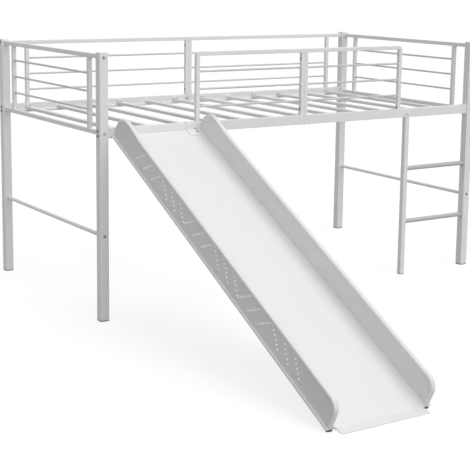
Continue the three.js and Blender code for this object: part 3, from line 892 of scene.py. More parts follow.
@dataclass(frozen=True)
class ButtonBolt:
    """Button head bolt with a hexagon socket."""

    head: float = 12 * MM
    height: float = 3.6 * MM
    socket: float = 5 * MM
    socket_depth: float = 0.7 * MM
    shank: float = 6 * MM
    sides: int = 24

    def add(self, form: Form, seat: Vector, direction: Vector, reach: float = 0.0) -> None:
        """Adds the bolt to a form whose first finish is the head's and whose second the socket floor's, a
        brighter metal that is a painted highlight.

        Args:
            form: Form that takes the bolt.
            seat: Middle of the head's underside.
            direction: Direction in which the head looks.
            reach: Length of the shank below the head.
        """
        crown_shares = [(1.0, 0.0), (1.0, 0.32), (0.96, 0.5), (0.86, 0.72), (0.7, 0.9), (0.56, 1.0)]
        turn = Vector((0, 0, 1)).rotation_difference(Vector(direction))
        rings = [self._ring(self.head / 2 * out, self.height * up) for out, up in crown_shares]
        for up in (self.height, self.height - self.socket_depth):
            rings.append(self._ring(None, up))
        rings = [[Vector(seat) + turn @ point for point in ring] for ring in rings]
        form.paint = 0
        form.loft(rings, caps=False)
        # The socket's floor takes the brighter second finish, which is a painted highlight
        form.paint = 1
        form.face(form.ring(rings[-1]))
        form.paint = 0
        if reach > 0:
            shank = [(self.shank / 2, 0.0), (self.shank / 2, reach)]
            form.turned(seat, -Vector(direction), shank, self.sides // 2)

    def _ring(self, radius: float | None, up: float) -> Ring:
        """One ring round the bolt's own axis.

        Args:
            radius: Distance from the axis, or None for the socket's outline.
            up: Height above the seat.

        Returns:
            Points of the ring.
        """
        points = []
        for side in range(self.sides):
            angle = side / self.sides * 2 * math.pi
            out = self._socket_radius(angle) if radius is None else radius
            points.append(Vector((out * math.cos(angle), out * math.sin(angle), up)))
        return points

    def _socket_radius(self, angle: float) -> float:
        """Distance of the socket's wall from the axis at an angle."""
        sixth = math.pi / 3
        return self.socket / 2 / math.cos(angle % sixth - sixth / 2)


@dataclass
class Posts:
    """Four corner posts with their foot caps."""

    corner: float = 4 * MM
    top_round: float = 2.5 * MM
    top_steps: int = 5
    cap_edge: float = 1.5 * MM

    def build(self) -> None:
        """Builds every post and cap."""
        for face in Face:
            for side in Side:
                self._post(f"{face.word}_{side.word}")

    def _post(self, place: str) -> None:
        """Builds one post and its cap.

        Args:
            place: Corner of the bed, as the nodes spell it.
        """
        low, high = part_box(f"post_{place}")
        form = Form()
        form.bar(low, high, Axis.Z, self.corner, self.top_round, self.top_steps)
        settle(form.build(f"corner_post_{place}", [PAINT]), [f"post_{place}"])
        cap_low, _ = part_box(f"post_cap_{place}")
        cap = Form()
        cap.bar(cap_low, Vector((high.x, high.y, low.z)), Axis.Z, self.corner, self.cap_edge)
        settle(cap.build(f"foot_cap_{place}", [CAP_PLASTIC]), [f"post_cap_{place}"])


@dataclass
class WeldedWork:
    """What the welded frames share: square tube, thin rods and weld beads."""

    tube: float = 17.4 * MM
    edge: float = 2 * MM
    edge_steps: int = 3
    rod: float = 9 * MM
    weld: float = 1.6 * MM
    bead: float = 1 * MM
    rod_weld: float = 1.3 * MM
    sunk: float = 1 * MM
    upright_inset: float = 128 * MM

    def square_tube(self, form: Form, low: Vector, high: Vector, axis: Axis) -> None:
        """Adds one square tube between two corners."""
        form.bar(low, high, axis, self.edge, 0.0, self.edge_steps)

    def upright(self, form: Form, x: float, y: float, bottom: float, top: float) -> None:
        """Adds an upright tube centred on X and Y."""
        half = Vector((self.tube / 2, self.tube / 2, 0))
        self.square_tube(form, Vector((x, y, bottom)) - half, Vector((x, y, top)) + half, Axis.Z)

    def weld_round(self, form: Form, x: float, y: float, z: float) -> None:
        """Adds the bead where an upright meets a tube.

        Args:
            form: Form that takes the bead.
            x: Middle of the upright along the bed.
            y: Middle of the upright across the bed.
            z: Height of the tube's face.
        """
        half = self.tube / 2
        outline = rounded_ring(half, half, self.edge, self.edge_steps)
        loop = []
        for index, (u, v) in enumerate(outline):
            next_u, next_v = outline[(index + 1) % len(outline)]
            length = math.hypot(next_u - u, next_v - v)
            parts = max(1, round(length / self.weld))
            for part in range(parts):
                share = part / parts
                loop.append(Vector((x + u + (next_u - u) * share, y + v + (next_v - v) * share, z)))
        form.bead(loop, self.bead)


@dataclass
class EndFrame(WeldedWork):
    """Welded frame between the front and back post of one end."""

    plate: float = 20 * MM
    plate_thickness: float = 2.5 * MM
    plate_edge: float = 0.5 * MM

    def build(self, side: Side) -> None:
        """Builds the frame of one end.

        Args:
            side: End of the bed.
        """
        node = f"end_frame_{side.word}"
        low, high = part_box(node)
        x = (low.x + high.x) / 2
        half = self.tube / 2
        form = Form()
        for z in (LEVELS.top_tube, LEVELS.end_bottom):
            first = Vector((x - half, low.y, z - half))
            self.square_tube(form, first, Vector((x + half, high.y, z + half)), Axis.Y)
            self._plates(form, x, z, low.y, high.y)
        reach = self.upright_inset - (low.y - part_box(f"post_front_{side.word}")[0].y)
        uprights = (low.y + reach, high.y - reach)
        lower = LEVELS.end_bottom + half
        upper = LEVELS.top_tube - half
        for y in uprights:
            self.upright(form, x, y, lower - self.sunk, upper + self.sunk)
            self.weld_round(form, x, y, upper)
            self.weld_round(form, x, y, lower)
        # The rods take the darker copy of the paint, which is painted shade
        form.paint = 1
        for z in LEVELS.rods:
            start = Vector((x, uprights[0] + half, z))
            end = Vector((x, uprights[1] - half, z))
            form.rod(start, end, self.rod / 2, self.rod_weld)
        settle(form.build(f"welded_end_frame_{side.word}", [PAINT, ROD_SHADED_PAINT]), [node])

    def _plates(self, form: Form, x: float, z: float, start: float, end: float) -> None:
        """Adds the flared plates at both ends of a tube.

        Args:
            form: Form that takes the plates.
            x: Middle of the tube along the bed.
            z: Height of its middle.
            start: Y of its front end.
            end: Y of its back end.
        """
        half = self.plate / 2
        for low_y in (start, end - self.plate_thickness):
            low = Vector((x - half, low_y, z - half))
            high = Vector((x + half, low_y + self.plate_thickness, z + half))
            form.bar(low, high, Axis.Y, self.edge, self.plate_edge, self.edge_steps)


@dataclass
class Stretcher:
    """Round tube low between the posts of one end."""

    plug_round: float = 1 * MM
    sides: int = 32

    def build(self, side: Side) -> None:
        """Builds one stretcher.

        Args:
            side: End of the bed.
        """
        node = f"end_stretcher_{side.word}"
        low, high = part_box(node)
        middle = (low + high) / 2
        radius = (high.x - low.x) / 2
        length = high.y - low.y
        profile = [
            (radius - self.plug_round, 0.0),
            (radius, self.plug_round),
            (radius, length - self.plug_round),
            (radius - self.plug_round, length),
        ]
        form = Form()
        form.turned(Vector((middle.x, low.y, middle.z)), Vector((0, 1, 0)), profile, self.sides)
        settle(form.build(f"round_stretcher_{side.word}", [PAINT]), [node])


@dataclass
class Guard(WeldedWork):
    """Bar guard on a rail, one half on each side of the bed's middle."""

    bend: float = 10 * MM
    bend_steps: int = 10
    tab_thickness: float = 2.5 * MM
    tab_corner: float = 3 * MM
    tab_edge: float = 0.4 * MM
    tab_rise: float = 24 * MM

    def build(self, face: Face, side: Side) -> None:
        """Builds one half of the front or back guard.

        Args:
            face: Long side of the bed.
            side: Half of the bed.
        """
        node = f"{face.word}_guard_{side.word}"
        low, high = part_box(node)
        outer = side.outer(low, high)
        inner = side.inner(low, high)
        post_low, post_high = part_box(f"post_{face.word}_{side.word}")
        y = (post_low.y + post_high.y) / 2
        form = Form()
        if face is Face.FRONT:
            self._bent_tube(form, side, outer, inner, y)
            first = outer - side.value * self.tube / 2
        else:
            first = self._straight_tube(form, side, outer, inner, y)
        last = inner + side.value * self.tube / 2
        half = self.tube / 2
        foot = LEVELS.rail_top + LEVELS.gap
        under_top = LEVELS.top_tube - half
        self.upright(form, last, y, foot, under_top + self.sunk)
        self.weld_round(form, last, y, under_top)
        self._tab(form, face, last, low, high)
        # The rods take the darker copy of the paint, which is painted shade
        form.paint = 1
        for z in LEVELS.rods:
            start = Vector((first - side.value * half, y, z))
            form.rod(start, Vector((last + side.value * half, y, z)), self.rod / 2, self.rod_weld)
        settle(form.build(f"{face.word}_bar_guard_{side.word}", [PAINT, ROD_SHADED_PAINT]), [node])

    def _bent_tube(self, form: Form, side: Side, outer: float, inner: float, y: float) -> None:
        """Adds the top tube that bends down into the outer upright.

        Args:
            form: Form that takes the tube.
            side: Half of the bed.
            outer: X of the end at the post.
            inner: X of the end at the joint.
            y: Middle of the tube.
        """
        half = self.tube / 2
        upright_x = outer - side.value * half
        bend_x = upright_x - side.value * self.bend
        bend_z = LEVELS.top_tube - self.bend
        middle_line = [(Vector((inner, y, LEVELS.top_tube)), Vector((side.value, 0, 0)))]
        for step in range(self.bend_steps + 1):
            angle = step / self.bend_steps * math.pi / 2
            x = bend_x + side.value * self.bend * math.sin(angle)
            z = bend_z + self.bend * math.cos(angle)
            ahead = Vector((side.value * math.cos(angle), 0, -math.sin(angle)))
            middle_line.append((Vector((x, y, z)), ahead))
        foot = LEVELS.rail_top + LEVELS.gap
        middle_line.append((Vector((upright_x, y, foot)), Vector((0, 0, -1))))
        rings = []
        for point, ahead in middle_line:
            across = ahead.cross(Vector((0, 1, 0)))
            section = rounded_ring(half, half, self.edge, self.edge_steps)
            rings.append([point + across * u + Vector((0, v, 0)) for u, v in section])
        form.loft(rings)

    def _straight_tube(self, form: Form, side: Side, outer: float, inner: float, y: float) -> float:
        """Adds the top tube and the outer upright of a back guard.

        Args:
            form: Form that takes the tubes.
            side: Half of the bed.
            outer: X of the end at the post.
            inner: X of the end at the joint.
            y: Middle of the tubes.

        Returns:
            X of the middle of the outer upright.
        """
        half = self.tube / 2
        low = Vector((min(outer, inner), y - half, LEVELS.top_tube - half))
        high = Vector((max(outer, inner), y + half, LEVELS.top_tube + half))
        self.square_tube(form, low, high, Axis.X)
        x = side.outer(*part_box(f"post_back_{side.word}")) - side.value * self.upright_inset
        under_top = LEVELS.top_tube - half
        self.upright(form, x, y, LEVELS.rail_top + LEVELS.gap, under_top + self.sunk)
        self.weld_round(form, x, y, under_top)
        return x

    def _tab(self, form: Form, face: Face, x: float, low: Vector, high: Vector) -> None:
        """Adds the tab behind the foot of the upright at the joint.

        Args:
            form: Form that takes the tab.
            face: Long side of the bed.
            x: Middle of the upright.
            low: Lowest corner of the guard's node.
            high: Highest corner of the guard's node.
        """
        half = self.tube / 2
        inside = face.inner(low, high)
        outside = inside + face.value * self.tab_thickness
        bottom = Vector((x - half, min(inside, outside), low.z))
        top = Vector((x + half, max(inside, outside), LEVELS.rail_top + LEVELS.gap + self.tab_rise))
        form.bar(bottom, top, Axis.Y, self.tab_corner, self.tab_edge)


@dataclass
class Rails:
    """Side rails in two halves, with collars at the posts."""

    width: float = 22 * MM
    ledge: float = 12 * MM
    corner: float = 2 * MM
    collar_length: float = 32 * MM
    collar_rise: float = 1.5 * MM
    collar_edge: float = 1.2 * MM
    steps: int = 4

    def build(self) -> None:
        """Builds the four halves."""
        for face in Face:
            for side in Side:
                self._half(face, side)

    def _section(self, face: Face, front: float) -> list[Pair]:
        """Section in Y and Z of one rail.

        Args:
            face: Long side of the bed.
            front: Y of the rail's outer face.

        Returns:
            Points round the section.
        """
        inward = -face.value
        back = front + inward * self.width
        ledge_back = back + inward * self.ledge
        corners = [
            (front, LEVELS.rail_bottom),
            (ledge_back, LEVELS.rail_bottom),
            (ledge_back, LEVELS.ledge_top),
            (back, LEVELS.ledge_top),
            (back, LEVELS.rail_top),
            (front, LEVELS.rail_top),
        ]
        closed = [*corners, corners[0], corners[1]]
        return rounded_path(closed, self.corner, self.steps)[1:-1]

    def _half(self, face: Face, side: Side) -> None:
        """Builds one half of a rail.

        Args:
            face: Long side of the bed.
            side: Half of the bed.
        """
        node = f"{face.word}_rail_{side.word}"
        low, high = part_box(node)
        front = face.outer(low, high)
        at_post = side.outer(low, high)
        at_joint = side.value * LEVELS.gap / 2
        section = self._section(face, front)
        collar_end = at_post - side.value * self.collar_length
        form = Form()
        form.loft([[Vector((x, y, z)) for y, z in section] for x in (collar_end, at_joint)])
        inner = front - face.value * (self.width + self.collar_rise)
        ends = sorted((at_post, collar_end))
        ledge = inner - face.value * (self.ledge - self.collar_rise)
        form.bar(
            Vector((ends[0], min(inner, ledge), LEVELS.rail_bottom)),
            Vector((ends[1], max(inner, ledge), LEVELS.ledge_top)),
            Axis.X,
            self.corner,
        )
        form.bar(
            Vector((ends[0], min(front, inner), LEVELS.rail_bottom - self.collar_rise)),
            Vector((ends[1], max(front, inner), LEVELS.rail_top + self.collar_rise)),
            Axis.X,
            self.corner,
            self.collar_edge,
        )
        settle(form.build(f"{face.word}_side_rail_{side.word}", [PAINT]), [node])


@dataclass
class Slats:
    """Slats across the bed with a holder clip at each end."""

    count: int = 12
    width: float = 25 * MM
    height: float = 14 * MM
    corner: float = 2 * MM
    clip_depth: float = 14 * MM
    clip_corner: float = 6 * MM
    clip_steps: int = 6
    slot_half: float = 4 * MM
    slot_rise: float = 4 * MM
    plain_every: int = 3
    first_plain: int = 2

    def build(self) -> None:
        """Builds every slat and its clips."""
        for number in range(1, self.count + 1):
            self._slat(number)

    def _slat(self, number: int) -> None:
        """Builds one slat, and its two clips where it has them.

        Args:
            number: Number of the slat, from 1 at the left end.
        """
        node = f"slat_{number:02d}"
        low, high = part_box(node)
        x = (low.x + high.x) / 2
        half = self.width / 2
        bar = Form()
        bar.bar(
            Vector((x - half, low.y, low.z)),
            Vector((x + half, high.y, low.z + self.height)),
            Axis.Y,
            self.corner,
        )
        piece = settle(bar.build(f"bed_slat_{number:02d}", [PAINT]), [node])
        if number % self.plain_every == self.first_plain:
            return
        clips = Form()
        section = self._clip_section(low, high)
        for start in (low.y, high.y - self.clip_depth):
            clips.loft([[Vector((x, y, z)) for x, z in section] for y in (start, start + self.clip_depth)])
        holder = clips.build(f"slat_clips_{number:02d}", [HOLDER_PLASTIC])
        holder.parent = piece
        LOG.info("built %s", holder.name)

    def _clip_section(self, low: Vector, high: Vector) -> list[Pair]:
        """Section in X and Z of a clip that arches over the slat, with a slot above the slat.

        Args:
            low: Lowest corner of the slat's node.
            high: Highest corner of the slat's node.

        Returns:
            Points round the section.
        """
        radius = self.clip_corner
        slat_top = low.z + self.height
        x = (low.x + high.x) / 2
        half = self.width / 2
        points = [(low.x, low.z)]
        for corner_x, start in ((low.x + radius, math.pi), (high.x - radius, math.pi / 2)):
            for step in range(self.clip_steps + 1):
                angle = start - step / self.clip_steps * math.pi / 2
                z = high.z - radius + radius * math.sin(angle)
                points.append((corner_x + radius * math.cos(angle), z))
        points += [(high.x, low.z), (x + half, low.z), (x + half, slat_top)]
        points += [(x + self.slot_half, slat_top), (x + self.slot_half, slat_top + self.slot_rise)]
        points += [(x - self.slot_half, slat_top + self.slot_rise), (x - self.slot_half, slat_top)]
        points += [(x - half, slat_top), (x - half, low.z)]
        return points


@dataclass
class Ladder:
    """Ladder leg, its foot cap and the two rungs."""

    leg: float = 24 * MM
    corner: float = 3 * MM
    end_edge: float = 0.6 * MM
    tab_thickness: float = 2.5 * MM
    tab_edge: float = 0.4 * MM
    tab_behind: float = 0.2 * MM
    tab_lap: float = 20 * MM
    tab_steps: int = 8
    cap_edge: float = 1 * MM
    flange_length: float = 7 * MM
    flange_edge: float = 1 * MM
    rung: float = 21 * MM
    rung_weld: float = 1.2 * MM
    sides: int = 32

    def build(self) -> None:
        """Builds the ladder."""
        self._leg()
        for rung in Rung:
            self._rung(rung)

    def _leg(self) -> None:
        """Builds the leg with its tab, and its cap."""
        low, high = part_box("ladder_leg")
        form = Form()
        top = LEVELS.rail_bottom - LEVELS.gap
        form.bar(low, Vector((high.x, high.y, top)), Axis.Z, self.corner, self.end_edge)
        form.bar(
            Vector((low.x + self.corner, low.y + self.tab_behind, top - self.tab_lap)),
            Vector((high.x - self.corner, low.y + self.tab_thickness, high.z)),
            Axis.Y,
            (self.leg - 2 * self.corner) / 2,
            self.tab_edge,
            self.tab_steps,
        )
        settle(form.build("ladder_upright", [PAINT]), ["ladder_leg"])
        cap_low, cap_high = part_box("ladder_leg_cap")
        cap = Form()
        cap.bar(cap_low, Vector((cap_high.x, cap_high.y, low.z)), Axis.Z, self.corner, self.cap_edge)
        settle(cap.build("ladder_foot_cap", [CAP_PLASTIC]), ["ladder_leg_cap"])

    def _rung(self, rung: Rung) -> None:
        """Builds one rung with the cup flange at the post.

        Args:
            rung: Which rung.
        """
        node = f"ladder_rung_{rung.value}"
        low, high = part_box(node)
        middle = (low + high) / 2
        length = high.x - low.x
        radius = self.rung / 2
        wide = (high.z - low.z) / 2
        weld = self.rung_weld
        flange = self.flange_length
        weld_shares = [(1.0, 0.0), (0.75, 0.5), (0.0, 1.8)]
        cup_shares = [(0.3, 1.0), (0.5, 0.6)]
        mouth_share, rim_share = (0.35, 0.25)
        profile = [(radius + weld * out, weld * along) for out, along in weld_shares]
        profile.append((radius, length - flange - self.flange_edge))
        profile += [(radius + (wide - radius) * out, length - flange * back) for out, back in cup_shares]
        profile.append((wide - self.flange_edge, length - flange * mouth_share))
        profile += [(wide, length - flange * rim_share), (wide, length)]
        form = Form()
        form.turned(Vector((low.x, middle.y, middle.z)), Vector((1, 0, 0)), profile, self.sides)
        # The rung takes the darker grey copy of the paint, which is painted shade
        settle(form.build(f"ladder_step_{rung.value}", [RUNG_SHADED_PAINT]), [node])


@dataclass
class Chute:
    """Moulded chute: two hollow walls, the sliding surface between them and out-turned edges."""

    wall_height: float = 100 * MM
    sheet: float = 3.5 * MM
    fillet: float = 8 * MM
    end_corner: float = 45 * MM
    top_corner: float = 60 * MM
    hump: float = 9 * MM
    hump_crest: float = 72 * MM
    hump_end: float = 215 * MM
    hump_steps: int = 10
    rim: float = 7 * MM
    flange: float = 8 * MM
    flange_lip: float = 3 * MM
    flange_corner: float = 1 * MM
    flange_steps: int = 3
    contour: float = 6 * MM
    contour_slope: float = 5 * MM
    arc_steps: int = 14
    rim_steps: int = 6
    fillet_steps: int = 6
    smooth_degrees: float = 32.0

    def build(self) -> None:
        """Builds the walls, and the bed with its edges."""
        hoods = Form()
        for side in Side:
            self._hood(hoods, side)
        walls = hoods.build("slide_side_walls", [SLIDE_PLASTIC], self.smooth_degrees)
        shell = walls.modifiers.new("wall_thickness", "SOLIDIFY")
        shell.thickness = self.sheet
        shell.offset = -1.0
        walls.modifiers.move(1, 0)
        settle(walls, ["slide_chute"])
        bed = Form()
        self._bed(bed)
        for side in Side:
            self._flange(bed, side)
        settle(bed.build("slide_bed", [SLIDE_PLASTIC], self.smooth_degrees), ["slide_chute"])

    def _outline(self, inset: float) -> list[Pair]:
        """Side view of a wall, open along its foot.

        Args:
            inset: How far the outline is moved inwards.

        Returns:
            Pairs of the distance down the slope and square to it.
        """
        top = self.wall_height - inset
        foot = -SLOPE.bed
        points = [(inset, foot)]
        radius = self.top_corner - inset
        for step in range(self.arc_steps + 1):
            angle = math.pi - step / self.arc_steps * math.pi / 2
            along = self.top_corner + radius * math.cos(angle)
            points.append((along, top - radius + radius * math.sin(angle) + self._hump(along)))
        for step in range(1, self.hump_steps + 1):
            along = self.top_corner + (self.hump_end - self.top_corner) * step / self.hump_steps
            points.append((along, top + self._hump(along)))
        radius = self.end_corner - inset
        middle = SLOPE.length - inset - radius
        for step in range(self.arc_steps + 1):
            angle = math.pi / 2 - step / self.arc_steps * math.pi / 2
            points.append((middle + radius * math.cos(angle), top - radius + radius * math.sin(angle)))
        points.append((SLOPE.length - inset, foot))
        return points

    def _hump(self, along: float) -> float:
        """How far a wall's edge rises above its straight run near the slide's top.

        Args:
            along: Distance down the slope.

        Returns:
            The rise.
        """
        rise = min(1.0, max(0.0, along / self.hump_crest))
        fall = min(1.0, max(0.0, (self.hump_end - along) / (self.hump_end - self.hump_crest)))
        share = min(rise, fall)
        return self.hump * share * share * (3 - 2 * share)

    def _hood(self, form: Form, side: Side) -> None:
        """Adds the outer skin of one wall, open below.

        Args:
            form: Form that takes the skin.
            side: Which wall.
        """
        raised = self.rim + self.contour
        stations = [(SLOPE.contour_sink, raised + self.contour_slope), (0.0, raised)]
        for step in range(self.rim_steps + 1):
            angle = step / self.rim_steps * math.pi / 2
            stations.append((self.rim * (1 - math.cos(angle)), self.rim * (1 - math.sin(angle))))
        mirrored = [(SLOPE.wall - across, inset) for across, inset in reversed(stations)]
        rings = []
        for across, inset in stations + mirrored:
            u = side.value * (SLOPE.half_outside - across)
            rings.append([SLOPE.point(u, along, up) for along, up in self._outline(inset)])
        form.loft(rings, skip_last=True)

    def _bed(self, form: Form) -> None:
        """Adds the sliding surface with a fillet into both walls.

        Args:
            form: Form that takes the surface.
        """
        edge = SLOPE.half_inside + SLOPE.contour_sink + self.sheet / 2
        section = [(-edge, -SLOPE.bed), (edge, -SLOPE.bed), (edge, self.fillet)]
        for sign in (1, -1):
            arc = []
            for step in range(self.fillet_steps + 1):
                angle = -step / self.fillet_steps * math.pi / 2
                across = SLOPE.half_inside - self.fillet + self.fillet * math.cos(angle)
                arc.append((sign * across, self.fillet + self.fillet * math.sin(angle)))
            section.extend(arc if sign > 0 else reversed(arc))
        section.append((-edge, self.fillet))
        self._run(form, section)

    def _flange(self, form: Form, side: Side) -> None:
        """Adds the out-turned edge along the foot of one wall.

        Args:
            form: Form that takes the edge.
            side: Which wall.
        """
        start = SLOPE.half_outside - SLOPE.contour_sink - self.sheet / 2
        end = SLOPE.half_outside + self.flange
        corners = [
            (start, -SLOPE.bed),
            (end, -SLOPE.bed),
            (end, self.flange_lip),
            (end - self.flange_lip, 0.0),
            (start, 0.0),
        ]
        closed = [*corners, corners[0], corners[1]]
        section = rounded_path(closed, self.flange_corner, self.flange_steps)[1:-1]
        self._run(form, [(side.value * across, up) for across, up in section])

    def _run(self, form: Form, section: Sequence[Pair]) -> None:
        """Runs a section down the whole slope.

        Args:
            form: Form that takes the run.
            section: Pairs of the distance to the right and square to the slope.
        """
        rings = []
        for along in (0.0, SLOPE.length):
            rings.append([SLOPE.point(across, along, up) for across, up in section])
        form.loft(rings)


@dataclass
class TreadDots:
    """Small domes in slanting rows on the outer faces of the chute's walls."""

    radius: float = 4.5 * MM
    height: float = 3.8 * MM
    sides: int = 12
    in_row: int = 6
    step: float = 11.4 * MM
    foot: float = 26 * MM
    rows: int = 18
    rows_each_way: int = 3
    first_row: float = 195 * MM
    row_pitch: float = 68 * MM

    def build(self) -> None:
        """Builds the dots of both walls as one piece."""
        form = Form()
        for side in Side:
            for row in range(self.rows):
                self._row(form, side, row)
        # The dots take the whiter copy of the plastic, which is a painted highlight
        settle(form.build("slide_wall_dots", [DOT_HIGHLIGHT_PLASTIC]))

    def _row(self, form: Form, side: Side, row: int) -> None:
        """Adds one row, whose dots rise or fall down the slope.

        Args:
            form: Form that takes the dots.
            side: Which wall.
            row: Number of the row, from 0 at the top.
        """
        dome_shares = [(1.0, 0.0), (0.9, 0.4), (0.65, 0.75), (0.35, 0.95), (0.05, 1.0)]
        profile = [(self.radius * out, self.height * up) for out, up in dome_shares]
        across = side.value * (SLOPE.half_outside - SLOPE.contour_sink)
        facing = Vector((side.value, 0, 0))
        falling = (row // self.rows_each_way) % 2 == 1
        for dot in range(self.in_row):
            level = self.in_row - 1 - dot if falling else dot
            along = self.first_row + row * self.row_pitch + dot * self.step
            seat = SLOPE.point(across, along, self.foot + level * self.step)
            form.turned(seat, facing, profile, self.sides)


@dataclass
class HookBrackets:
    """Two strips that hook the chute over the front rail, with their bolts."""

    sheet: float = 2.5 * MM
    bend: float = 2.2 * MM
    bend_steps: int = 4
    lip: float = 6 * MM
    wider: float = 4 * MM
    bolt_shift: float = 20 * MM
    rail_bolt: ButtonBolt = ButtonBolt(head=10 * MM, height=2.2 * MM)
    rail_bolt_level: float = 752 * MM
    lap_bolt: ButtonBolt = ButtonBolt(head=10 * MM, height=2.6 * MM)
    lap_bolt_place: float = 16 * MM

    def build(self) -> None:
        """Builds both brackets and their bolts."""
        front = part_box("front_rail_left")[0].y - LEVELS.gap
        for side in Side:
            self._strip(side, front)
            self._bolts(side, front)

    def _strip(self, side: Side, front: float) -> None:
        """Builds one bracket, bent over the rail and on down the slope.

        Args:
            side: Which bracket.
            front: Y of the strip's face on the rail.
        """
        node = f"slide_bracket_{side.word}"
        low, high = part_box(node)
        top = high.z - self.sheet
        hook = high.y - self.sheet
        rise = LEVELS.gap / math.cos(SLOPE.angle)
        path = []
        for y in (low.y, front):
            path.append((y, SLOPE.origin.z + rise + (y - SLOPE.origin.y) * math.tan(SLOPE.angle)))
        path += [(front, top), (hook, top), (hook, top - self.lip)]
        left = low.x
        right = high.x
        if side is Side.LEFT:
            left -= self.wider
        else:
            right += self.wider
        form = Form()
        form.strip(rounded_path(path, self.bend, self.bend_steps), self.sheet, left, right)
        settle(form.build(f"slide_hook_{side.word}", [HOOK_PAINT]), [node])

    def _bolts(self, side: Side, front: float) -> None:
        """Builds the bolt into the rail and the one through the chute.

        Args:
            side: Which bracket.
            front: Y of the strip's face on the rail.
        """
        low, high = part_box(f"slide_bracket_{side.word}")
        x = (low.x + high.x) / 2 + side.value * self.bolt_shift
        form = Form()
        seat = Vector((x, front - self.sheet, self.rail_bolt_level))
        self.rail_bolt.add(form, seat, Vector((0, -1, 0)))
        lap = SLOPE.point(x - SLOPE.origin.x, self.lap_bolt_place, LEVELS.gap + self.sheet)
        self.lap_bolt.add(form, lap, SLOPE.square)
        settle(form.build(f"slide_hook_bolts_{side.word}", DARK_BOLT))


@dataclass
class FloorPlate:
    """Ramp from the chute's end down to the floor."""

    sheet: float = 2.25 * MM
    lift: float = 2.5 * MM
    lap: float = 9 * MM
    toe: float = 2.4 * MM
    nose: float = 1.5 * MM
    bend: float = 1.2 * MM
    bend_steps: int = 4

    def build(self) -> None:
        """Builds the plate, with its toe on the floor and its heel on the chute."""
        node = "slide_floor_plate"
        low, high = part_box(node)
        lap = SLOPE.point(0.0, SLOPE.length - self.lap, LEVELS.gap + self.lift)
        end = SLOPE.point(0.0, SLOPE.length + LEVELS.gap, LEVELS.gap + self.lift)
        toe = [(low.y, self.toe), (low.y + self.nose, self.toe + self.nose / 2)]
        path = rounded_path([*toe, (end.y, end.z), (lap.y, lap.z)], self.bend, self.bend_steps)
        form = Form()
        form.strip(list(reversed(path)), self.sheet, low.x, high.x)
        settle(form.build("slide_toe_plate", [SLIDE_PLASTIC]), [node])


@dataclass
class RubberFeet:
    """Rubber wedges under the walls' lower ends."""

    edge: float = 1 * MM

    def build(self) -> None:
        """Builds both feet."""
        for side in Side:
            self._foot(side)

    def _foot(self, side: Side) -> None:
        """Builds one foot.

        Args:
            side: Which wall it stands under.
        """
        node = f"slide_foot_{side.word}"
        low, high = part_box(node)
        edge = self.edge
        drop = (high.y - low.y) * math.tan(SLOPE.angle)
        rings = []
        for x, inset in ((low.x, edge), (low.x + edge, 0.0), (high.x - edge, 0.0), (high.x, edge)):
            ring = [
                Vector((x, low.y + inset, low.z)),
                Vector((x, high.y - inset, low.z)),
                Vector((x, high.y - inset, high.z - inset)),
                Vector((x, low.y + inset, high.z - drop)),
            ]
            rings.append(ring)
        form = Form()
        form.loft(rings)
        settle(form.build(f"slide_rubber_{side.word}", [RUBBER]), [node])


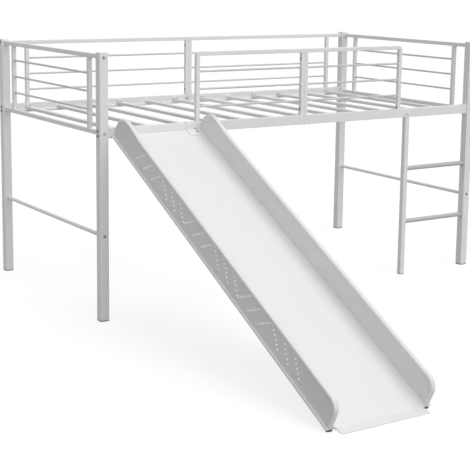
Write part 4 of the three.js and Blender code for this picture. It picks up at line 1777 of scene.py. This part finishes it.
@dataclass
class Fasteners:
    """Bolts of the posts, guards, rails and ladder."""

    bolt: ButtonBolt = ButtonBolt()
    grip: float = 50 * MM
    rail_bolt_levels: Pair = (749 * MM, 767 * MM)
    guard_bolt: ButtonBolt = ButtonBolt(head=10 * MM, height=3 * MM)
    guard_tube: float = WeldedWork.tube
    joint_levels: Pair = (1025 * MM, 807.5 * MM)
    joint_grip: float = 10 * MM
    foot_level: float = 765 * MM
    outer_foot_level: float = 787 * MM
    nut_radius: float = 5 * MM
    nut_sides: int = 18
    ladder_bolt: ButtonBolt = ButtonBolt(head=11 * MM, height=3.2 * MM)
    tab_level: float = 754 * MM
    screw: ButtonBolt = ButtonBolt(head=8 * MM, height=2.2 * MM, socket=3 * MM, socket_depth=1.2 * MM)
    screw_inset: float = 11 * MM
    screw_places: Pair = (9.5 * MM, 31.5 * MM)

    def build(self) -> None:
        """Builds every fastener that shows."""
        for face in Face:
            for side in Side:
                self._post_bolts(face, side)
        for side in Side:
            self._guard_bolt(side)
        self._joint_bolts()
        self._ladder_bolts()
        self._splice_screws()

    def _post_bolts(self, face: Face, side: Side) -> None:
        """Builds the bolts in one post.

        Args:
            face: Long side of the bed.
            side: End of the bed.
        """
        place = f"{face.word}_{side.word}"
        post_low, post_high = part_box(f"post_{place}")
        middle = (post_low + post_high) / 2
        outer_y = face.outer(post_low, post_high)
        for kind in PostBolt:
            node = f"bolt_{kind.value}_{place}"
            low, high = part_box(node)
            seat = Vector((middle.x, outer_y, (low.z + high.z) / 2))
            form = Form()
            self.bolt.add(form, seat, Vector((0, face.value, 0)), self.grip)
            metals = DULL_BOLT if kind is PostBolt.END_BOTTOM else DARK_BOLT
            settle(form.build(f"{kind.value}_bolt_{place}", metals), [node])
        outer_x = side.outer(post_low, post_high)
        form = Form()
        for z in self.rail_bolt_levels:
            self.bolt.add(form, Vector((outer_x, middle.y, z)), Vector((side.value, 0, 0)), self.grip)
        settle(form.build(f"rail_bolt_pair_{place}", DARK_BOLT), [f"rail_bolts_{place}"])

    def _guard_bolt(self, side: Side) -> None:
        """Builds the bolt that holds the back guard's top tube.

        Args:
            side: End of the bed.
        """
        node = f"bolt_guard_back_{side.word}"
        low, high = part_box(node)
        middle = (low + high) / 2
        outer_x = side.outer(*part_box(f"post_back_{side.word}"))
        form = Form()
        self.bolt.add(form, Vector((outer_x, middle.y, middle.z)), Vector((side.value, 0, 0)), self.grip)
        settle(form.build(f"guard_top_bolt_{side.word}", DARK_BOLT), [node])

    def _joint_bolts(self) -> None:
        """Builds the bolts through the two uprights at each guard joint, and those of the guard feet."""
        reach = self.guard_tube + LEVELS.gap / 2
        for face in Face:
            low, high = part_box(f"{face.word}_guard_left")
            post_low, post_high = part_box(f"post_{face.word}_left")
            y = (post_low.y + post_high.y) / 2
            form = Form()
            for z in self.joint_levels:
                self.guard_bolt.add(form, Vector((-reach, y, z)), Vector((-1, 0, 0)), self.joint_grip)
                self._nut(form, Vector((reach, y, z)))
            seat = Vector((-self.guard_tube / 2, face.inner(low, high), self.foot_level))
            self.guard_bolt.add(form, seat, Vector((0, -face.value, 0)))
            if face is Face.FRONT:
                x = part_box("front_guard_right")[1].x - self.guard_tube
                self.guard_bolt.add(form, Vector((x, y, self.outer_foot_level)), Vector((-1, 0, 0)))
            settle(form.build(f"guard_joint_bolts_{face.word}", DARK_BOLT))

    def _nut(self, form: Form, seat: Vector) -> None:
        """Adds a low round nut that looks along +X.

        Args:
            form: Form that takes the nut.
            seat: Middle of its underside.
        """
        radius = self.nut_radius
        nut_shares = [(1.0, 0.0), (1.0, 0.16), (0.9, 0.28), (0.6, 0.36), (0.25, 0.38)]
        profile = [(radius * out, radius * along) for out, along in nut_shares]
        form.paint = 1
        form.turned(seat, Vector((1, 0, 0)), profile, self.nut_sides)
        form.paint = 0

    def _ladder_bolts(self) -> None:
        """Builds the bolts of the ladder's tab and of the rung ends."""
        low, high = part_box("ladder_leg")
        x = (low.x + high.x) / 2
        form = Form()
        self.ladder_bolt.add(form, Vector((x, low.y, self.tab_level)), Vector((0, -1, 0)))
        for rung in Rung:
            rung_low, rung_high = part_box(f"ladder_rung_{rung.value}")
            middle = (rung_low + rung_high) / 2
            self.ladder_bolt.add(form, Vector((low.x, middle.y, middle.z)), Vector((-1, 0, 0)))
        settle(form.build("ladder_bolts", DULL_BOLT))

    def _splice_screws(self) -> None:
        """Builds the two screws under each rail joint."""
        form = Form()
        for face in Face:
            y = face.outer(*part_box(f"{face.word}_rail_right")) - face.value * self.screw_inset
            for x in self.screw_places:
                self.screw.add(form, Vector((x, y, LEVELS.rail_bottom)), Vector((0, 0, -1)))
        settle(form.build("rail_splice_screws", DARK_BOLT))


@dataclass
class Studio:
    """Floor, backdrop, lamps and camera."""

    floor_half: float = 30.0
    floor_drop: float = 0.2 * MM
    floor_cloud_scale: float = 0.8
    floor_cloud_tone: float = 0.99
    floor_roughness: float = 0.9
    floor_bounce: float = 0.37
    floor_seen: float = 0.24
    floor_glow: float = 0.8
    sky: float = 0.44
    overhead: float = 1.25
    overhead_angle: float = 44.0
    overhead_direction: Triple = (0.2, -0.2, 0.96)
    frontal: float = 1.2
    frontal_angle: float = 60.0
    frontal_direction: Triple = (-0.12, -0.93, 0.35)
    fill: float = 1.0
    fill_size: float = 0.4
    fill_place: Triple = (-0.4, 0.98, 0.3)
    camera_place: Triple = (-3.1224, -4.04105, 1.39361)
    yaw: float = 32.975
    pitch: float = -9.698
    roll: float = 0.716
    focal_pixels: float = 1226.46
    image_pixels: float = 470.0
    lens_centre_pixels: float = 180.0
    sensor: float = 36.0
    farthest: float = 100.0

    def build(self) -> None:
        """Builds the studio."""
        self._floor()
        self._world()
        self._lamps()
        self._camera()
        bpy.context.scene.view_settings.view_transform = "Standard"

    def _floor(self) -> None:
        """Lays the pale floor, which shows white and keeps the shadow."""
        form = Form()
        half = self.floor_half
        corners = [(-half, -half), (half, -half), (half, half), (-half, half)]
        form.face(form.ring([Vector((x, y, -self.floor_drop)) for x, y in corners]))
        bench = NodeBench("studio_floor")
        cloud = bench.cloud(bench.place(), self.floor_cloud_scale)
        seen = self._seen(bench.tree)
        shown = (self.floor_seen,) * 3
        bounced = (self.floor_bounce,) * 3
        shown_floor = bench.mix(cloud, shade(shown, self.floor_cloud_tone), shown)
        bench.feed(bench.mix(seen, bounced, shown_floor), "Base Color")
        bench.fix("Roughness", self.floor_roughness)
        bench.fix("Specular IOR Level", 0.0)
        bench.fix("Emission Color", (1.0, 1.0, 1.0, 1.0))
        bench.feed(bench.spread(seen, FULL_SPAN, (0.0, self.floor_glow)), "Emission Strength")
        form.build("studio_floor", [bench.material])

    def _seen(self, tree: bpy.types.NodeTree) -> Socket:
        """Share that is 1 for rays from the camera, a reflection or a clear piece.

        Args:
            tree: Nodes of the floor or the sky.

        Returns:
            The share.
        """
        path = tree.nodes.new("ShaderNodeLightPath")
        total = path.outputs["Is Camera Ray"]
        for name in ("Is Glossy Ray", "Is Transmission Ray"):
            larger = tree.nodes.new("ShaderNodeMath")
            larger.operation = "MAXIMUM"
            tree.links.new(total, larger.inputs[0])
            tree.links.new(path.outputs[name], larger.inputs[1])
            total = larger.outputs["Value"]
        return total

    def _world(self) -> None:
        """Sets the soft sky, which shows white behind the bed."""
        world = bpy.data.worlds.new("studio_sky")
        bpy.context.scene.world = world
        world.use_nodes = True
        tree = world.node_tree
        background = tree.nodes["Background"]
        background.inputs["Color"].default_value = (1.0, 1.0, 1.0, 1.0)
        strength = tree.nodes.new("ShaderNodeMapRange")
        strength.inputs["To Min"].default_value = self.sky
        strength.inputs["To Max"].default_value = 1.0
        tree.links.new(self._seen(tree), strength.inputs["Value"])
        tree.links.new(strength.outputs["Result"], background.inputs["Strength"])

    def _lamps(self) -> None:
        """Hangs the soft lamps above and in front of the bed, and a weak one that looks along the bed."""
        self._soft_lamp("overhead", self.overhead, self.overhead_angle, self.overhead_direction)
        self._soft_lamp("frontal", self.frontal, self.frontal_angle, self.frontal_direction)
        panel = bpy.data.lights.new("weak_fill", "AREA")
        panel.energy = self.fill
        panel.size = self.fill_size
        fill = bpy.data.objects.new("weak_fill", panel)
        fill.rotation_mode = "QUATERNION"
        fill.rotation_quaternion = Vector((-1, 0, 0)).to_track_quat("Z", "Y")
        fill.location = Vector(self.fill_place)
        fill.visible_camera = False
        fill.visible_glossy = False
        bpy.context.scene.collection.objects.link(fill)

    def _soft_lamp(self, name: str, strength: float, angle: float, towards: Triple) -> None:
        """Adds a wide distant lamp.

        Args:
            name: Name of the lamp.
            strength: Its strength.
            angle: How wide it looks, in degrees.
            towards: Direction from the bed to the lamp.
        """
        light = bpy.data.lights.new(name, "SUN")
        light.energy = strength
        light.angle = math.radians(angle)
        lamp = bpy.data.objects.new(name, light)
        lamp.rotation_mode = "QUATERNION"
        lamp.rotation_quaternion = Vector(towards).to_track_quat("Z", "Y")
        bpy.context.scene.collection.objects.link(lamp)

    def _camera(self) -> None:
        """Sets the camera at the photograph's viewpoint."""
        yaw, pitch, roll = (math.radians(angle) for angle in (self.yaw, self.pitch, self.roll))
        ahead = Vector((math.sin(yaw) * math.cos(pitch), math.cos(yaw) * math.cos(pitch), math.sin(pitch)))
        level = Vector((math.cos(yaw), -math.sin(yaw), 0))
        upright = level.cross(ahead)
        right = level * math.cos(roll) + upright * math.sin(roll)
        up = upright * math.cos(roll) - level * math.sin(roll)
        data = bpy.data.cameras.new("photo_camera")
        data.sensor_width = self.sensor
        data.lens = self.focal_pixels / self.image_pixels * self.sensor
        data.shift_y = (self.lens_centre_pixels - self.image_pixels / 2) / self.image_pixels
        data.clip_end = self.farthest
        camera = bpy.data.objects.new("photo_camera", data)
        turn = Matrix((right, up, -ahead)).transposed().to_4x4()
        camera.matrix_world = Matrix.Translation(Vector(self.camera_place)) @ turn
        bpy.context.scene.collection.objects.link(camera)
        bpy.context.scene.camera = camera


def main() -> None:
    """Builds every sub-assembly in order."""
    logging.basicConfig(level=logging.INFO, format="%(name)s: %(message)s")
    Posts().build()
    for side in Side:
        EndFrame().build(side)
        Stretcher().build(side)
    for face in Face:
        for side in Side:
            Guard().build(face, side)
    Rails().build()
    Slats().build()
    Ladder().build()
    for assembly in (Chute(), TreadDots(), HookBrackets(), FloorPlate(), RubberFeet()):
        assembly.build()
    Fasteners().build()
    Studio().build()


if __name__ == "__main__":
    main()
